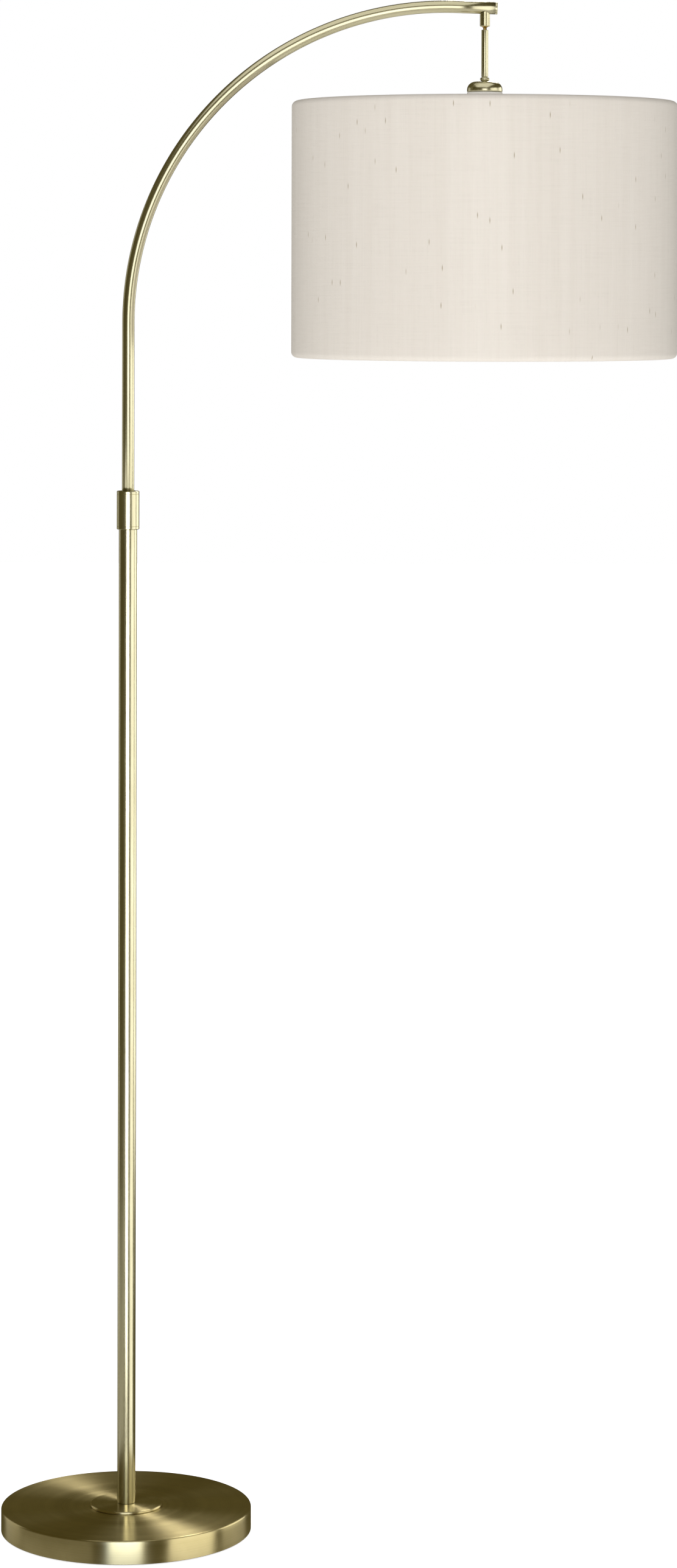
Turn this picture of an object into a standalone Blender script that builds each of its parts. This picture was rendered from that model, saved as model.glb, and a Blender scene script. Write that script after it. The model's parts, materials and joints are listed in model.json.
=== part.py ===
"""Arc floor lamp: round base, slim post, telescoping bent arm and a hanging drum shade.

Sizes are in millimetres and become metres in the helpers that make meshes. The origin is the
centre of the floor pad's underside, on the post's axis. +Z is up and the arm reaches along +X.
"""

import math

import bmesh
import bpy
from mathutils import Matrix, Vector

MM = 0.001
GAP = 0.3  # clearance that touching pieces keep
CLEARANCE = 0.35  # running clearance round a sliding or turning piece
BIG_STEPS = 48  # sides of the large round pieces

# Base
BASE_RADIUS = 130.0
BASE_TOP = 25.0
BASE_EDGE = 2.0  # rounding of the cover's top edge
COVER_WALL = 1.2
COVER_FOOT = 0.8  # height of the cover's lower edge over the floor
PAD_RADIUS = 125.0
PAD_THICKNESS = 1.5
WEIGHT_RADIUS = 127.0
WEIGHT_TOP = 20.0
WEIGHT_BOSS_RADIUS = 34.0
POCKET_RADIUS = 18.0
POCKET_ROOF = 12.0
GROOVE_WIDTH = 9.0
CORD_EXIT_Z = 7.0
GROMMET_NECK = 4.5
GROMMET_BORE = 3.25
FLANGE_RADIUS = 37.5
FLANGE_TOP = 28.0

# Threaded nipple and its nut
NIPPLE_RADIUS = 5.0
NIPPLE_BORE = 3.5
NIPPLE_BOTTOM = 3.2
NIPPLE_TOP = 45.0
NUT_FLATS = 14.0

# Post, collet and collar
POST_RADIUS = 9.5
POST_BORE = 8.5
POST_FOOT = FLANGE_TOP + GAP
POST_TOP = 1060.0
COLLAR_RADIUS = 11.7
COLLAR_BOTTOM = 1043.0
COLLAR_TOP = 1083.0
COLLAR_SEAT = 1079.2  # inside roof of the collar, where its cone ends

# Arm: straight, one arc, and a short straight end that falls a little
ARM_RADIUS = 6.35
ARM_BORE = 5.35
ARM_TAIL = 800.3
ARM_BEND_Z = 1257.6  # where the arc starts
ARC_RADIUS = 328.5
ARC_SWEEP = math.radians(92.0)
ARM_REACH = 382.0  # X of the end cap's outer face
CAP_THICKNESS = 2.0

# Hanging axis and swivel
HANG_X = 369.0
HOUSING_RADIUS = 5.2
HOUSING_BOTTOM = 1565.6
HOUSING_BORE = 4.1
BALL_Z = 1567.6
BALL_RADIUS = 3.8
NECK_RADIUS = 1.8
STUD_BORE = 1.1
ROD_RADIUS = 3.6
ROD_THREAD = 3.0  # the rod's lower end, turned down for its nuts
ROD_BORE = 2.1
ROD_TOP = 1562.2
ROD_BOTTOM = 1500.0

# Lampholder
LOCKNUT_BOTTOM = 1509.0
LOCKNUT_TOP = 1513.0
BELL_TOP = 1508.5
BELL_RADIUS = 18.4
BELL_BOTTOM = 1497.9
HOLDER_TOP = 1497.5
HOLDER_BOTTOM = 1440.2
HOLDER_BORE = 16.6
SKIRT_RADIUS = 19.5
HOLDER_FLANGE_Z = 1482.2
PUCK_TOP = 1485.6
PUCK_BOTTOM = 1471.5
SHELL_RADIUS = 14.5
SHELL_BORE = 14.0

# Shade
SHADE_RADIUS = 200.0
SHADE_TOP = 1488.0
SHADE_BOTTOM = 1222.0
FABRIC_WALL = 0.8
HEM = 5.5  # how far the fabric is turned in at both ends
LINING_WALL = 0.6
WIRE_RADIUS = 1.6
HOOP_RADIUS = 196.0
SPIDER_Z = 1480.4
SPIDER_RADIUS = 26.0

# Bulb, hanging cap up
BULB_RADIUS = 30.0
BULB_BOTTOM = 1361.0
BULB_RIM_Z = 1405.0
BULB_NECK_Z = 1441.5
BULB_CAP_RADIUS = 13.3


def clear_scene():
    for item in list(bpy.data.objects):
        bpy.data.objects.remove(item, do_unlink=True)


def finish_material(name, colour, roughness, metallic=0.0):
    material = bpy.data.materials.new(name)
    material.use_nodes = True
    shader = material.node_tree.nodes["Principled BSDF"]
    shader.inputs["Base Color"].default_value = (*colour, 1.0)
    shader.inputs["Roughness"].default_value = roughness
    shader.inputs["Metallic"].default_value = metallic
    return material


def add_object(name, mesh, material, location=(0.0, 0.0, 0.0), parent=None):
    """An object at location, in millimetres of the lamp's frame, under an optional joint empty."""
    item = bpy.data.objects.new(name, mesh)
    bpy.context.scene.collection.objects.link(item)
    if material:
        mesh.materials.append(material)
    place = Vector(location) * MM
    if parent:
        item.parent = parent
        place -= parent.matrix_world.translation
    item.location = place
    return item


def add_joint(name, location):
    """An empty on a joint's axis, which the pieces of the moving body hang from."""
    empty = bpy.data.objects.new(name, None)
    bpy.context.scene.collection.objects.link(empty)
    empty.location = Vector(location) * MM
    bpy.context.view_layer.update()
    return empty


def mesh_from(bm, name, crease=35.0):
    bmesh.ops.remove_doubles(bm, verts=bm.verts, dist=1e-6)
    bmesh.ops.recalc_face_normals(bm, faces=bm.faces)
    mesh = bpy.data.meshes.new(name)
    bm.to_mesh(mesh)
    bm.free()
    mesh.shade_smooth()
    mesh.set_sharp_from_angle(angle=math.radians(crease))
    return mesh


def arc(centre, radius, start, end, steps):
    """Points (r, z) along a round stretch of an outline. Angles are in degrees from +r."""
    points = []
    for i in range(steps + 1):
        angle = math.radians(start + (end - start) * i / steps)
        points.append((centre[0] + radius * math.cos(angle), centre[1] + radius * math.sin(angle)))
    return points


def turned_mesh(name, outline, steps, closed=True):
    """A lathe shape. The outline is (r, z) in millimetres; an open one starts and ends on the axis."""
    bm = bmesh.new()
    verts = [bm.verts.new((r * MM, 0.0, z * MM)) for r, z in outline]
    edges = [bm.edges.new(pair) for pair in zip(verts, verts[1:])]
    if closed:
        edges.append(bm.edges.new((verts[-1], verts[0])))
    bmesh.ops.spin(
        bm,
        geom=verts + edges,
        cent=(0.0, 0.0, 0.0),
        axis=(0.0, 0.0, 1.0),
        angle=math.tau,
        steps=steps,
        use_merge=True,
        use_duplicate=False,
    )
    return mesh_from(bm, name)


def turned(name, outline, material, steps=24, closed=True, x=0.0, parent=None):
    """A lathe shape whose outline's z is already the lamp's height; x is its axis."""
    mesh = turned_mesh(name, outline, steps, closed)
    if parent is None:
        return add_object(name, mesh, material, (x, 0.0, 0.0))
    drop = parent.matrix_world.translation.z
    mesh.transform(Matrix.Translation((0.0, 0.0, -drop)))
    return add_object(name, mesh, material, (x, 0.0, drop / MM), parent)


def ring(inner, outer, bottom, top):
    """Outline of a plain ring."""
    return [(inner, top), (outer, top), (outer, bottom), (inner, bottom)]


def prism_mesh(name, outline, bottom, top):
    """A flat outline of (x, y) points in millimetres, raised from bottom to top."""
    bm = bmesh.new()
    face = bm.faces.new([bm.verts.new((x * MM, y * MM, bottom * MM)) for x, y in outline])
    raised = bmesh.ops.extrude_face_region(bm, geom=[face], use_keep_orig=True)
    tops = [item for item in raised["geom"] if isinstance(item, bmesh.types.BMVert)]
    bmesh.ops.translate(bm, verts=tops, vec=(0.0, 0.0, (top - bottom) * MM))
    return mesh_from(bm, name)


def polygon(radius, corners, turn=0.0):
    points = []
    for i in range(corners):
        angle = turn + math.tau * i / corners
        points.append((radius * math.cos(angle), radius * math.sin(angle)))
    return points


def box_mesh(name, size, centre):
    bm = bmesh.new()
    bmesh.ops.create_cube(bm, size=1.0)
    bmesh.ops.scale(bm, vec=Vector(size) * MM, verts=bm.verts)
    bmesh.ops.translate(bm, vec=Vector(centre) * MM, verts=bm.verts)
    return mesh_from(bm, name)


def cylinder_mesh(name, radius, start, end, sides=24):
    """A closed round bar between two points."""
    start, end = Vector(start), Vector(end)
    bm = bmesh.new()
    bmesh.ops.create_cone(
        bm,
        cap_ends=True,
        segments=sides,
        radius1=radius * MM,
        radius2=radius * MM,
        depth=(end - start).length * MM,
    )
    turn = (end - start).to_track_quat("Z", "Y").to_matrix().to_4x4()
    bmesh.ops.transform(bm, matrix=turn, verts=bm.verts)
    bmesh.ops.translate(bm, vec=(start + end) / 2 * MM, verts=bm.verts)
    return mesh_from(bm, name)


def combine(item, tool_mesh, operation):
    """A Boolean modifier with a hidden tool. The tool's mesh is in the lamp's frame."""
    tool = bpy.data.objects.new(f"tool_{item.name}_{len(item.modifiers)}", tool_mesh)
    bpy.context.scene.collection.objects.link(tool)
    tool.hide_render = True
    tool.display_type = "WIRE"
    modifier = item.modifiers.new(f"{operation.lower()}_{len(item.modifiers)}", "BOOLEAN")
    modifier.operation = operation
    modifier.solver = "EXACT"
    modifier.object = tool
    return tool


def cut(item, tool_mesh):
    return combine(item, tool_mesh, "DIFFERENCE")


def join(item, tool_mesh):
    return combine(item, tool_mesh, "UNION")


# ---------------------------------------------------------------- materials


def make_materials():
    return {
        "brass": finish_material("satin_antique_brass", (0.42, 0.31, 0.13), 0.28, 1.0),
        "bright": finish_material("contact_brass", (0.70, 0.52, 0.22), 0.3, 1.0),
        "iron": finish_material("black_cast_iron", (0.03, 0.03, 0.032), 0.7, 0.6),
        "zinc": finish_material("zinc_plated_steel", (0.55, 0.56, 0.57), 0.35, 1.0),
        "felt": finish_material("black_felt", (0.02, 0.02, 0.02), 0.95),
        "rubber": finish_material("black_rubber", (0.02, 0.02, 0.02), 0.6),
        "nylon": finish_material("natural_nylon", (0.75, 0.73, 0.68), 0.5),
        "linen": finish_material("off_white_linen", (0.76, 0.73, 0.66), 0.9),
        "lining": finish_material("white_lining", (0.85, 0.84, 0.80), 0.6),
        "wire": finish_material("white_painted_wire", (0.8, 0.8, 0.78), 0.4),
        "holder": finish_material("cream_lampholder", (0.80, 0.78, 0.72), 0.4),
        "ceramic": finish_material("white_porcelain", (0.85, 0.84, 0.80), 0.3),
        "opal": finish_material("opal_diffuser", (0.9, 0.9, 0.88), 0.45),
        "housing": finish_material("white_bulb_housing", (0.85, 0.85, 0.84), 0.3),
        "board": finish_material("led_board", (0.8, 0.8, 0.8), 0.5),
        "circuit": finish_material("green_circuit_board", (0.03, 0.16, 0.06), 0.5),
        "black": finish_material("black_insulator", (0.02, 0.02, 0.02), 0.2),
    }


# --------------------------------------------------------------------- base


def make_pad(felt):
    outline = [(0.0, PAD_THICKNESS), (PAD_RADIUS, PAD_THICKNESS), (PAD_RADIUS, 0.0), (0.0, 0.0)]
    turned("floor_pad", outline, felt, steps=BIG_STEPS, closed=False)


def make_weight(iron):
    bottom = PAD_THICKNESS + GAP
    hole = NIPPLE_RADIUS + GAP
    boss_top = BASE_TOP - COVER_WALL - 2 * GAP
    chamfer = 3.0
    outline = [
        (hole, boss_top),
        (WEIGHT_BOSS_RADIUS, boss_top),
        (WEIGHT_BOSS_RADIUS + chamfer, WEIGHT_TOP),
        (WEIGHT_RADIUS - chamfer, WEIGHT_TOP),
        (WEIGHT_RADIUS, WEIGHT_TOP - chamfer),
        (WEIGHT_RADIUS, bottom),
        (POCKET_RADIUS, bottom),
        (POCKET_RADIUS, POCKET_ROOF),
        (hole, POCKET_ROOF),
    ]
    weight = turned("base_weight", outline, iron, steps=BIG_STEPS)
    inner = POCKET_RADIUS - 4.0
    outer = WEIGHT_RADIUS + 4.0
    size = (GROOVE_WIDTH, outer - inner, POCKET_ROOF - GAP)
    centre = (0.0, (inner + outer) / 2, size[2] / 2)
    cut(weight, box_mesh("cord_groove", size, centre))


def make_cover(brass):
    hole = NIPPLE_RADIUS + GAP
    inner_edge = BASE_EDGE - COVER_WALL + 0.4
    shoulder = (BASE_RADIUS - BASE_EDGE, BASE_TOP - BASE_EDGE)
    inside = (BASE_RADIUS - COVER_WALL - inner_edge, BASE_TOP - COVER_WALL - inner_edge)
    outline = [(hole, BASE_TOP)]
    outline += arc(shoulder, BASE_EDGE, 90, 0, 3)
    outline += [(BASE_RADIUS, COVER_FOOT), (BASE_RADIUS - COVER_WALL, COVER_FOOT)]
    outline += arc(inside, inner_edge, 0, 90, 1)
    outline += [(hole, BASE_TOP - COVER_WALL)]
    cover = turned("base_cover", outline, brass, steps=BIG_STEPS)
    start = (0.0, BASE_RADIUS - 8.0, CORD_EXIT_Z)
    end = (0.0, BASE_RADIUS + 4.0, CORD_EXIT_Z)
    cut(cover, cylinder_mesh("cord_hole", GROMMET_NECK + GAP, start, end))


def make_grommet(rubber):
    """A rubber ring that snaps into the cover's rim. Its axis is turned to point along +Y."""
    flange, lip = 6.1, 5.6
    inner_face = BASE_RADIUS - COVER_WALL - 1.4
    outline = [
        (GROMMET_BORE, BASE_RADIUS + 1.6),
        (flange - 0.7, BASE_RADIUS + 1.6),
        (flange, BASE_RADIUS + 0.9),
        (flange, BASE_RADIUS + GAP),
        (GROMMET_NECK, BASE_RADIUS + GAP),
        (GROMMET_NECK, inner_face + 0.9),
        (lip, inner_face + 0.9),
        (lip, inner_face),
        (GROMMET_BORE, inner_face),
    ]
    mesh = turned_mesh("cord_grommet", outline, 16)
    grommet = add_object("cord_grommet", mesh, rubber, (0.0, 0.0, CORD_EXIT_Z))
    grommet.rotation_euler.x = -math.pi / 2


def make_flange(brass):
    hole = NIPPLE_RADIUS + GAP
    bottom = BASE_TOP + GAP
    roll = 1.6
    outline = [(hole, FLANGE_TOP)]
    outline += arc((FLANGE_RADIUS - roll, FLANGE_TOP - roll), roll, 90, 0, 3)
    outline += [(FLANGE_RADIUS, bottom), (hole, bottom)]
    turned("base_flange", outline, brass, steps=36)


def make_base_fasteners(zinc):
    hole = NIPPLE_RADIUS + GAP
    turned("base_nipple", ring(NIPPLE_BORE, NIPPLE_RADIUS, NIPPLE_BOTTOM, NIPPLE_TOP), zinc, 20)
    washer_top = POCKET_ROOF - GAP
    washer_bottom = washer_top - 1.4
    turned("flat_washer", ring(hole, 15.0, washer_bottom, washer_top), zinc)
    lock_top = washer_bottom - GAP
    lock_bottom = lock_top - 0.8
    make_lock_washer(zinc, hole, lock_bottom, lock_top)
    nut_top = lock_bottom - GAP
    across_corners = NUT_FLATS / math.sqrt(3)
    nut_mesh = prism_mesh("base_nut", polygon(across_corners, 6), nut_top - 5.0, nut_top)
    nut = add_object("base_nut", nut_mesh, zinc)
    cut(nut, cylinder_mesh("nut_hole", hole, (0, 0, nut_top - 6.0), (0, 0, nut_top + 1.0)))


def make_lock_washer(zinc, hole, bottom, top):
    """A washer with a ring of teeth on its outside."""
    teeth, root, tip = 10, 7.2, 8.8
    outline = []
    for i in range(2 * teeth):
        radius = tip if i % 2 else root
        angle = math.tau * i / (2 * teeth)
        outline.append((radius * math.cos(angle), radius * math.sin(angle)))
    washer = add_object("lock_washer", prism_mesh("lock_washer", outline, bottom, top), zinc)
    cut(washer, cylinder_mesh("washer_hole", hole, (0, 0, bottom - 1.0), (0, 0, top + 1.0)))


# --------------------------------------------------------------------- post


def make_post(brass, bright, nylon):
    turned("post_tube", ring(POST_BORE, POST_RADIUS, POST_FOOT, POST_TOP), brass, 32)
    foot_radius = POST_BORE - GAP
    foot_top = POST_FOOT + 22.0
    outline = [
        (NIPPLE_RADIUS + GAP, foot_top),
        (foot_radius - 0.8, foot_top),
        (foot_radius, foot_top - 0.8),
        (foot_radius, POST_FOOT),
        (NIPPLE_RADIUS + GAP, POST_FOOT),
    ]
    turned("post_foot", outline, bright)
    make_collet(nylon)


def make_collet(nylon):
    """Split sleeve in the post's mouth. Its cone is what the collar presses onto the arm."""
    bore = ARM_RADIUS + GAP
    skirt = POST_BORE - GAP
    seat = POST_TOP + 0.4
    cone_top = COLLAR_SEAT - 0.6
    outline = [
        (bore, cone_top),
        (7.6, cone_top),
        (9.6, seat + 1.6),
        (9.6, seat),
        (skirt, seat),
        (skirt, POST_TOP - 15.0),
        (bore, POST_TOP - 15.0),
    ]
    collet = turned("collet", outline, nylon)
    slit = (12.0, 1.2, 60.0)
    cut(collet, box_mesh("collet_slit", slit, (-8.0, 0.0, POST_TOP)))


def make_collar(brass):
    joint = add_joint("collar_joint", (0.0, 0.0, COLLAR_BOTTOM))
    hole = ARM_RADIUS + CLEARANCE
    bore = POST_RADIUS + 0.45
    chamfer = 0.8
    outline = [
        (hole, COLLAR_TOP),
        (COLLAR_RADIUS - chamfer, COLLAR_TOP),
        (COLLAR_RADIUS, COLLAR_TOP - chamfer),
        (COLLAR_RADIUS, COLLAR_BOTTOM + chamfer),
        (COLLAR_RADIUS - chamfer, COLLAR_BOTTOM),
        (bore, COLLAR_BOTTOM),
        (bore, POST_TOP + 2.4),
        (7.95, COLLAR_SEAT),
        (hole, COLLAR_SEAT),
    ]
    turned("collar", outline, brass, 32, parent=joint)


# ---------------------------------------------------------------------- arm


def arm_end_direction():
    return Vector((math.sin(ARC_SWEEP), 0.0, math.cos(ARC_SWEEP)))


def arc_point(angle):
    """A point of the arm's centreline; the angle runs from where the arc starts."""
    x = ARC_RADIUS * (1.0 - math.cos(angle))
    return Vector((x, 0.0, ARM_BEND_Z + ARC_RADIUS * math.sin(angle)))


def arm_point_at(x):
    """The centreline at x on the straight end."""
    bend_end = arc_point(ARC_SWEEP)
    along = arm_end_direction()
    return bend_end + along * ((x - bend_end.x) / along.x)


def arm_centreline():
    steps = 26
    tube_end = ARM_REACH - CAP_THICKNESS - GAP
    points = [Vector((0.0, 0.0, ARM_TAIL))]
    points += [arc_point(ARC_SWEEP * i / steps) for i in range(steps + 1)]
    points.append(arm_point_at(tube_end))
    return points


def tube_mesh(name, centreline, outer, inner, sides):
    """A hollow tube along a line of points in one upright plane."""
    bm = bmesh.new()
    loops = {outer: [], inner: []}
    last = len(centreline) - 1
    for i, point in enumerate(centreline):
        along = centreline[min(i + 1, last)] - centreline[max(i - 1, 0)]
        normal = Vector((along.z, 0.0, -along.x)).normalized()
        for radius, found in loops.items():
            circle = []
            for k in range(sides):
                turn = math.tau * k / sides
                spoke = normal * math.cos(turn) + Vector((0.0, 1.0, 0.0)) * math.sin(turn)
                circle.append(bm.verts.new((point + spoke * radius) * MM))
            found.append(circle)
    for circles in loops.values():
        for first, second in zip(circles, circles[1:]):
            join_circles(bm, first, second)
    join_circles(bm, loops[outer][0], loops[inner][0])
    join_circles(bm, loops[outer][-1], loops[inner][-1])
    return mesh_from(bm, name)


def join_circles(bm, first, second):
    for k in range(len(first)):
        following = (k + 1) % len(first)
        bm.faces.new((first[k], first[following], second[following], second[k]))


def make_arm(brass, nylon):
    slider = add_joint("arm_height_joint", (0.0, 0.0, ARM_TAIL))
    guide = ring(ARM_RADIUS + GAP, POST_BORE - GAP, ARM_TAIL, ARM_TAIL + 24.7)
    turned("arm_guide", guide, nylon, parent=slider)
    swing = add_joint("arm_swivel_joint", (0.0, 0.0, ARM_TAIL))
    shoulder_top = ARM_TAIL - GAP
    spigot = ARM_BORE - CLEARANCE
    plug = [
        (NIPPLE_BORE, ARM_TAIL + 12.0),
        (spigot, ARM_TAIL + 12.0),
        (spigot, shoulder_top),
        (7.9, shoulder_top),
        (7.9, shoulder_top - 2.9),
        (7.1, shoulder_top - 3.7),
        (NIPPLE_BORE, shoulder_top - 3.7),
    ]
    turned("arm_tail_plug", plug, nylon, 20, parent=swing)
    mesh = tube_mesh("arm_tube", arm_centreline(), ARM_RADIUS, ARM_BORE, 20)
    mesh.transform(Matrix.Translation(-swing.matrix_world.translation))
    tube = add_object("arm_tube", mesh, brass, (0.0, 0.0, ARM_TAIL), swing)
    top = arm_point_at(HANG_X).z
    wire_hole = ((HANG_X, 0.0, top - ARM_RADIUS - 3.0), (HANG_X, 0.0, top))
    cut(tube, cylinder_mesh("wire_hole", 2.6, *wire_hole, 12))
    make_end_cap(brass, swing)
    return swing


def make_end_cap(brass, swing):
    """Turned cap in the arm's end. Its mesh's Z runs out along the arm."""
    spigot = ARM_BORE - CLEARANCE
    edge = 0.4
    outline = [
        (0.0, 0.0),
        (ARM_RADIUS - edge, 0.0),
        (ARM_RADIUS, -edge),
        (ARM_RADIUS, -CAP_THICKNESS),
        (spigot, -CAP_THICKNESS),
        (spigot, -CAP_THICKNESS - 4.0),
        (0.0, -CAP_THICKNESS - 4.0),
    ]
    mesh = turned_mesh("arm_end_cap", outline, 20, closed=False)
    cap = add_object("arm_end_cap", mesh, brass, arm_point_at(ARM_REACH), swing)
    cap.rotation_euler.y = ARC_SWEEP


# ------------------------------------------------------------------- swivel


def make_swivel_housing(brass, nylon, zinc, arm):
    """Cup under the arm's end that holds the ball. Its top is cut to sit round the tube."""
    bore = HOUSING_BORE
    top = arm_point_at(HANG_X).z - 3.9
    lip = math.sqrt(bore**2 - (BALL_Z - HOUSING_BOTTOM) ** 2)
    chamfer = 0.9
    outline = [
        (bore, top),
        (HOUSING_RADIUS, top),
        (HOUSING_RADIUS, HOUSING_BOTTOM + 2 * chamfer),
        (HOUSING_RADIUS - chamfer, HOUSING_BOTTOM),
        (lip, HOUSING_BOTTOM),
        (bore, BALL_Z),
    ]
    housing = turned("swivel_housing", outline, brass, 20, x=HANG_X, parent=arm)
    saddle = (arm_point_at(HANG_X - 20.0), arm_point_at(HANG_X + 20.0))
    cut(housing, cylinder_mesh("saddle", ARM_RADIUS + GAP, *saddle, 24))
    seat_bottom = BALL_Z + BALL_RADIUS + 0.4
    seat_top = seat_bottom + 1.4
    seat = ring(NECK_RADIUS, bore - GAP, seat_bottom, seat_top)
    turned("swivel_seat", seat, nylon, 20, x=HANG_X, parent=arm)
    make_snap_ring(zinc, arm, bore - GAP, seat_top + GAP)


def make_snap_ring(zinc, arm, radius, bottom):
    """An open spring ring: a square wire bent round most of a circle."""
    inner, sweep, steps = radius - 1.2, math.radians(310.0), 12
    angles = [-sweep / 2 + sweep * i / steps for i in range(steps + 1)]
    outline = [(radius * math.cos(a), radius * math.sin(a)) for a in angles]
    outline += [(inner * math.cos(a), inner * math.sin(a)) for a in reversed(angles)]
    drop = arm.matrix_world.translation.z
    mesh = prism_mesh("snap_ring", outline, bottom - drop / MM, bottom + 0.7 - drop / MM)
    add_object("snap_ring", mesh, zinc, (HANG_X, 0.0, drop / MM), arm)


def make_swivel_ball(bright):
    joint = add_joint("pendant_tilt_joint", (HANG_X, 0.0, BALL_Z))
    top = math.degrees(math.acos(STUD_BORE / BALL_RADIUS))
    neck = -math.degrees(math.acos(NECK_RADIUS / BALL_RADIUS))
    outline = arc((0.0, BALL_Z), BALL_RADIUS, top, neck, 7)
    outline += [(NECK_RADIUS, ROD_TOP - 9.0), (STUD_BORE, ROD_TOP - 9.0)]
    turned("swivel_ball", outline, bright, 16, x=HANG_X, parent=joint)


# ------------------------------------------------------------------ pendant


def make_rod(brass, zinc, body):
    edge = 0.5
    shoulder = LOCKNUT_TOP + GAP
    rod = [
        (ROD_BORE, ROD_TOP),
        (ROD_RADIUS - edge, ROD_TOP),
        (ROD_RADIUS, ROD_TOP - edge),
        (ROD_RADIUS, shoulder),
        (ROD_THREAD, shoulder),
        (ROD_THREAD, ROD_BOTTOM),
        (ROD_BORE, ROD_BOTTOM),
    ]
    turned("pendant_rod", rod, brass, x=HANG_X, parent=body)
    hole = ROD_THREAD + GAP
    bulge = (LOCKNUT_TOP - LOCKNUT_BOTTOM) / 2
    round_centre = (ROD_THREAD - 0.15, LOCKNUT_BOTTOM + bulge)
    bead = [(hole, LOCKNUT_TOP)]
    bead += arc(round_centre, bulge, 75, -75, 4)
    bead += [(hole, LOCKNUT_BOTTOM)]
    turned("rod_locknut", bead, brass, x=HANG_X, parent=body)
    nut_top = BELL_TOP - 1.0 - GAP
    drop = body.matrix_world.translation.z / MM
    nut_mesh = prism_mesh("cap_nut", polygon(7.0, 6), nut_top - 3.2 - drop, nut_top - drop)
    nut = add_object("cap_nut", nut_mesh, zinc, (HANG_X, 0.0, drop), body)
    axis = ((HANG_X, 0.0, nut_top - 5.0), (HANG_X, 0.0, nut_top + 1.0))
    cut(nut, cylinder_mesh("cap_nut_hole", hole, *axis))


def make_bell(brass, body):
    """Bell-shaped cap over the lampholder's wiring."""
    wall = 1.0
    hole = ROD_THREAD + GAP
    flat = BELL_RADIUS - 9.0
    rise = 8.5
    outline = [(hole, BELL_TOP)]
    for i in range(5):
        turn = math.radians(90.0 - 22.5 * i)
        r = flat + (BELL_RADIUS - flat) * math.cos(turn)
        outline.append((r, BELL_TOP - rise + rise * math.sin(turn)))
    outline += [(BELL_RADIUS, BELL_BOTTOM), (BELL_RADIUS - wall, BELL_BOTTOM)]
    for i in range(5):
        turn = math.radians(22.5 * i)
        r = flat + (BELL_RADIUS - wall - flat) * math.cos(turn)
        outline.append((r, BELL_TOP - rise + (rise - wall) * math.sin(turn)))
    outline += [(hole, BELL_TOP - wall)]
    turned("lampholder_cap", outline, brass, x=HANG_X, parent=body)


def make_lampholder(holder, ceramic, bright, zinc, body):
    flange_top = HOLDER_FLANGE_Z + 2.0
    upper_bore = 17.0
    ledge_bottom = PUCK_TOP + GAP
    outline = [
        (upper_bore, HOLDER_TOP),
        (BELL_RADIUS, HOLDER_TOP),
        (BELL_RADIUS, flange_top),
        (22.5, flange_top),
        (22.5, HOLDER_FLANGE_Z),
        (SKIRT_RADIUS, HOLDER_FLANGE_Z),
        (SKIRT_RADIUS, HOLDER_BOTTOM + 0.8),
        (SKIRT_RADIUS - 0.8, HOLDER_BOTTOM),
        (HOLDER_BORE, HOLDER_BOTTOM),
        (HOLDER_BORE, ledge_bottom),
        (14.6, ledge_bottom),
        (14.6, ledge_bottom + 1.6),
        (upper_bore, ledge_bottom + 1.6),
    ]
    turned("lampholder_body", outline, holder, x=HANG_X, parent=body)
    puck = ring(3.0, HOLDER_BORE - GAP, PUCK_BOTTOM, PUCK_TOP)
    insulator = turned("socket_insulator", puck, ceramic, x=HANG_X, parent=body)
    for side in (-1.0, 1.0):
        x = HANG_X + side * 8.5
        hole = ((x, 0.0, PUCK_TOP - 8.0), (x, 0.0, PUCK_TOP + 2.0))
        cut(insulator, cylinder_mesh("terminal_hole", 1.8, *hole, 12))
    make_terminal_screw("terminal_screw_live", zinc, HANG_X - 8.5, body)
    make_terminal_screw("terminal_screw_neutral", zinc, HANG_X + 8.5, body)
    shell = ring(SHELL_BORE, SHELL_RADIUS, HOLDER_BOTTOM + 3.0, PUCK_BOTTOM - GAP)
    turned("socket_shell", shell, bright, x=HANG_X, parent=body)
    make_centre_contact(bright, body)


def make_terminal_screw(name, zinc, x, body):
    head, shank = 2.8, 1.5
    head_bottom = PUCK_TOP + GAP
    outline = [
        (0.0, head_bottom + 2.0),
        (head - 0.5, head_bottom + 2.0),
        (head, head_bottom + 1.3),
        (head, head_bottom),
        (shank, head_bottom),
        (shank, head_bottom - 6.5),
        (0.0, head_bottom - 6.5),
    ]
    screw = turned(name, outline, zinc, 12, closed=False, x=x, parent=body)
    slot_centre = (x, 0.0, head_bottom + 2.0)
    cut(screw, box_mesh("slot", (8.0, 0.8, 1.6), slot_centre))


def make_centre_contact(bright, body):
    """Sprung strip that presses on the bulb's tip: a flat leg, then a slope down to the middle."""
    under = PUCK_BOTTOM - GAP
    thickness = 0.5
    width = 5.0
    line = [(-12.0, under), (-5.0, under), (2.6, under - 1.3)]
    outline = line + [(x, z - thickness) for x, z in reversed(line)]
    drop = body.matrix_world.translation.z / MM
    bm = bmesh.new()
    corners = [bm.verts.new((x * MM, -width / 2 * MM, (z - drop) * MM)) for x, z in outline]
    face = bm.faces.new(corners)
    raised = bmesh.ops.extrude_face_region(bm, geom=[face], use_keep_orig=True)
    far = [item for item in raised["geom"] if isinstance(item, bmesh.types.BMVert)]
    bmesh.ops.translate(bm, verts=far, vec=(0.0, width * MM, 0.0))
    mesh = mesh_from(bm, "centre_contact")
    add_object("centre_contact", mesh, bright, (HANG_X, 0.0, drop), body)


# -------------------------------------------------------------------- shade


def torus_outline(radius, height, wire, sides=6):
    return arc((radius, height), wire, 180.0, -180.0, sides)[:-1]


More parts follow.
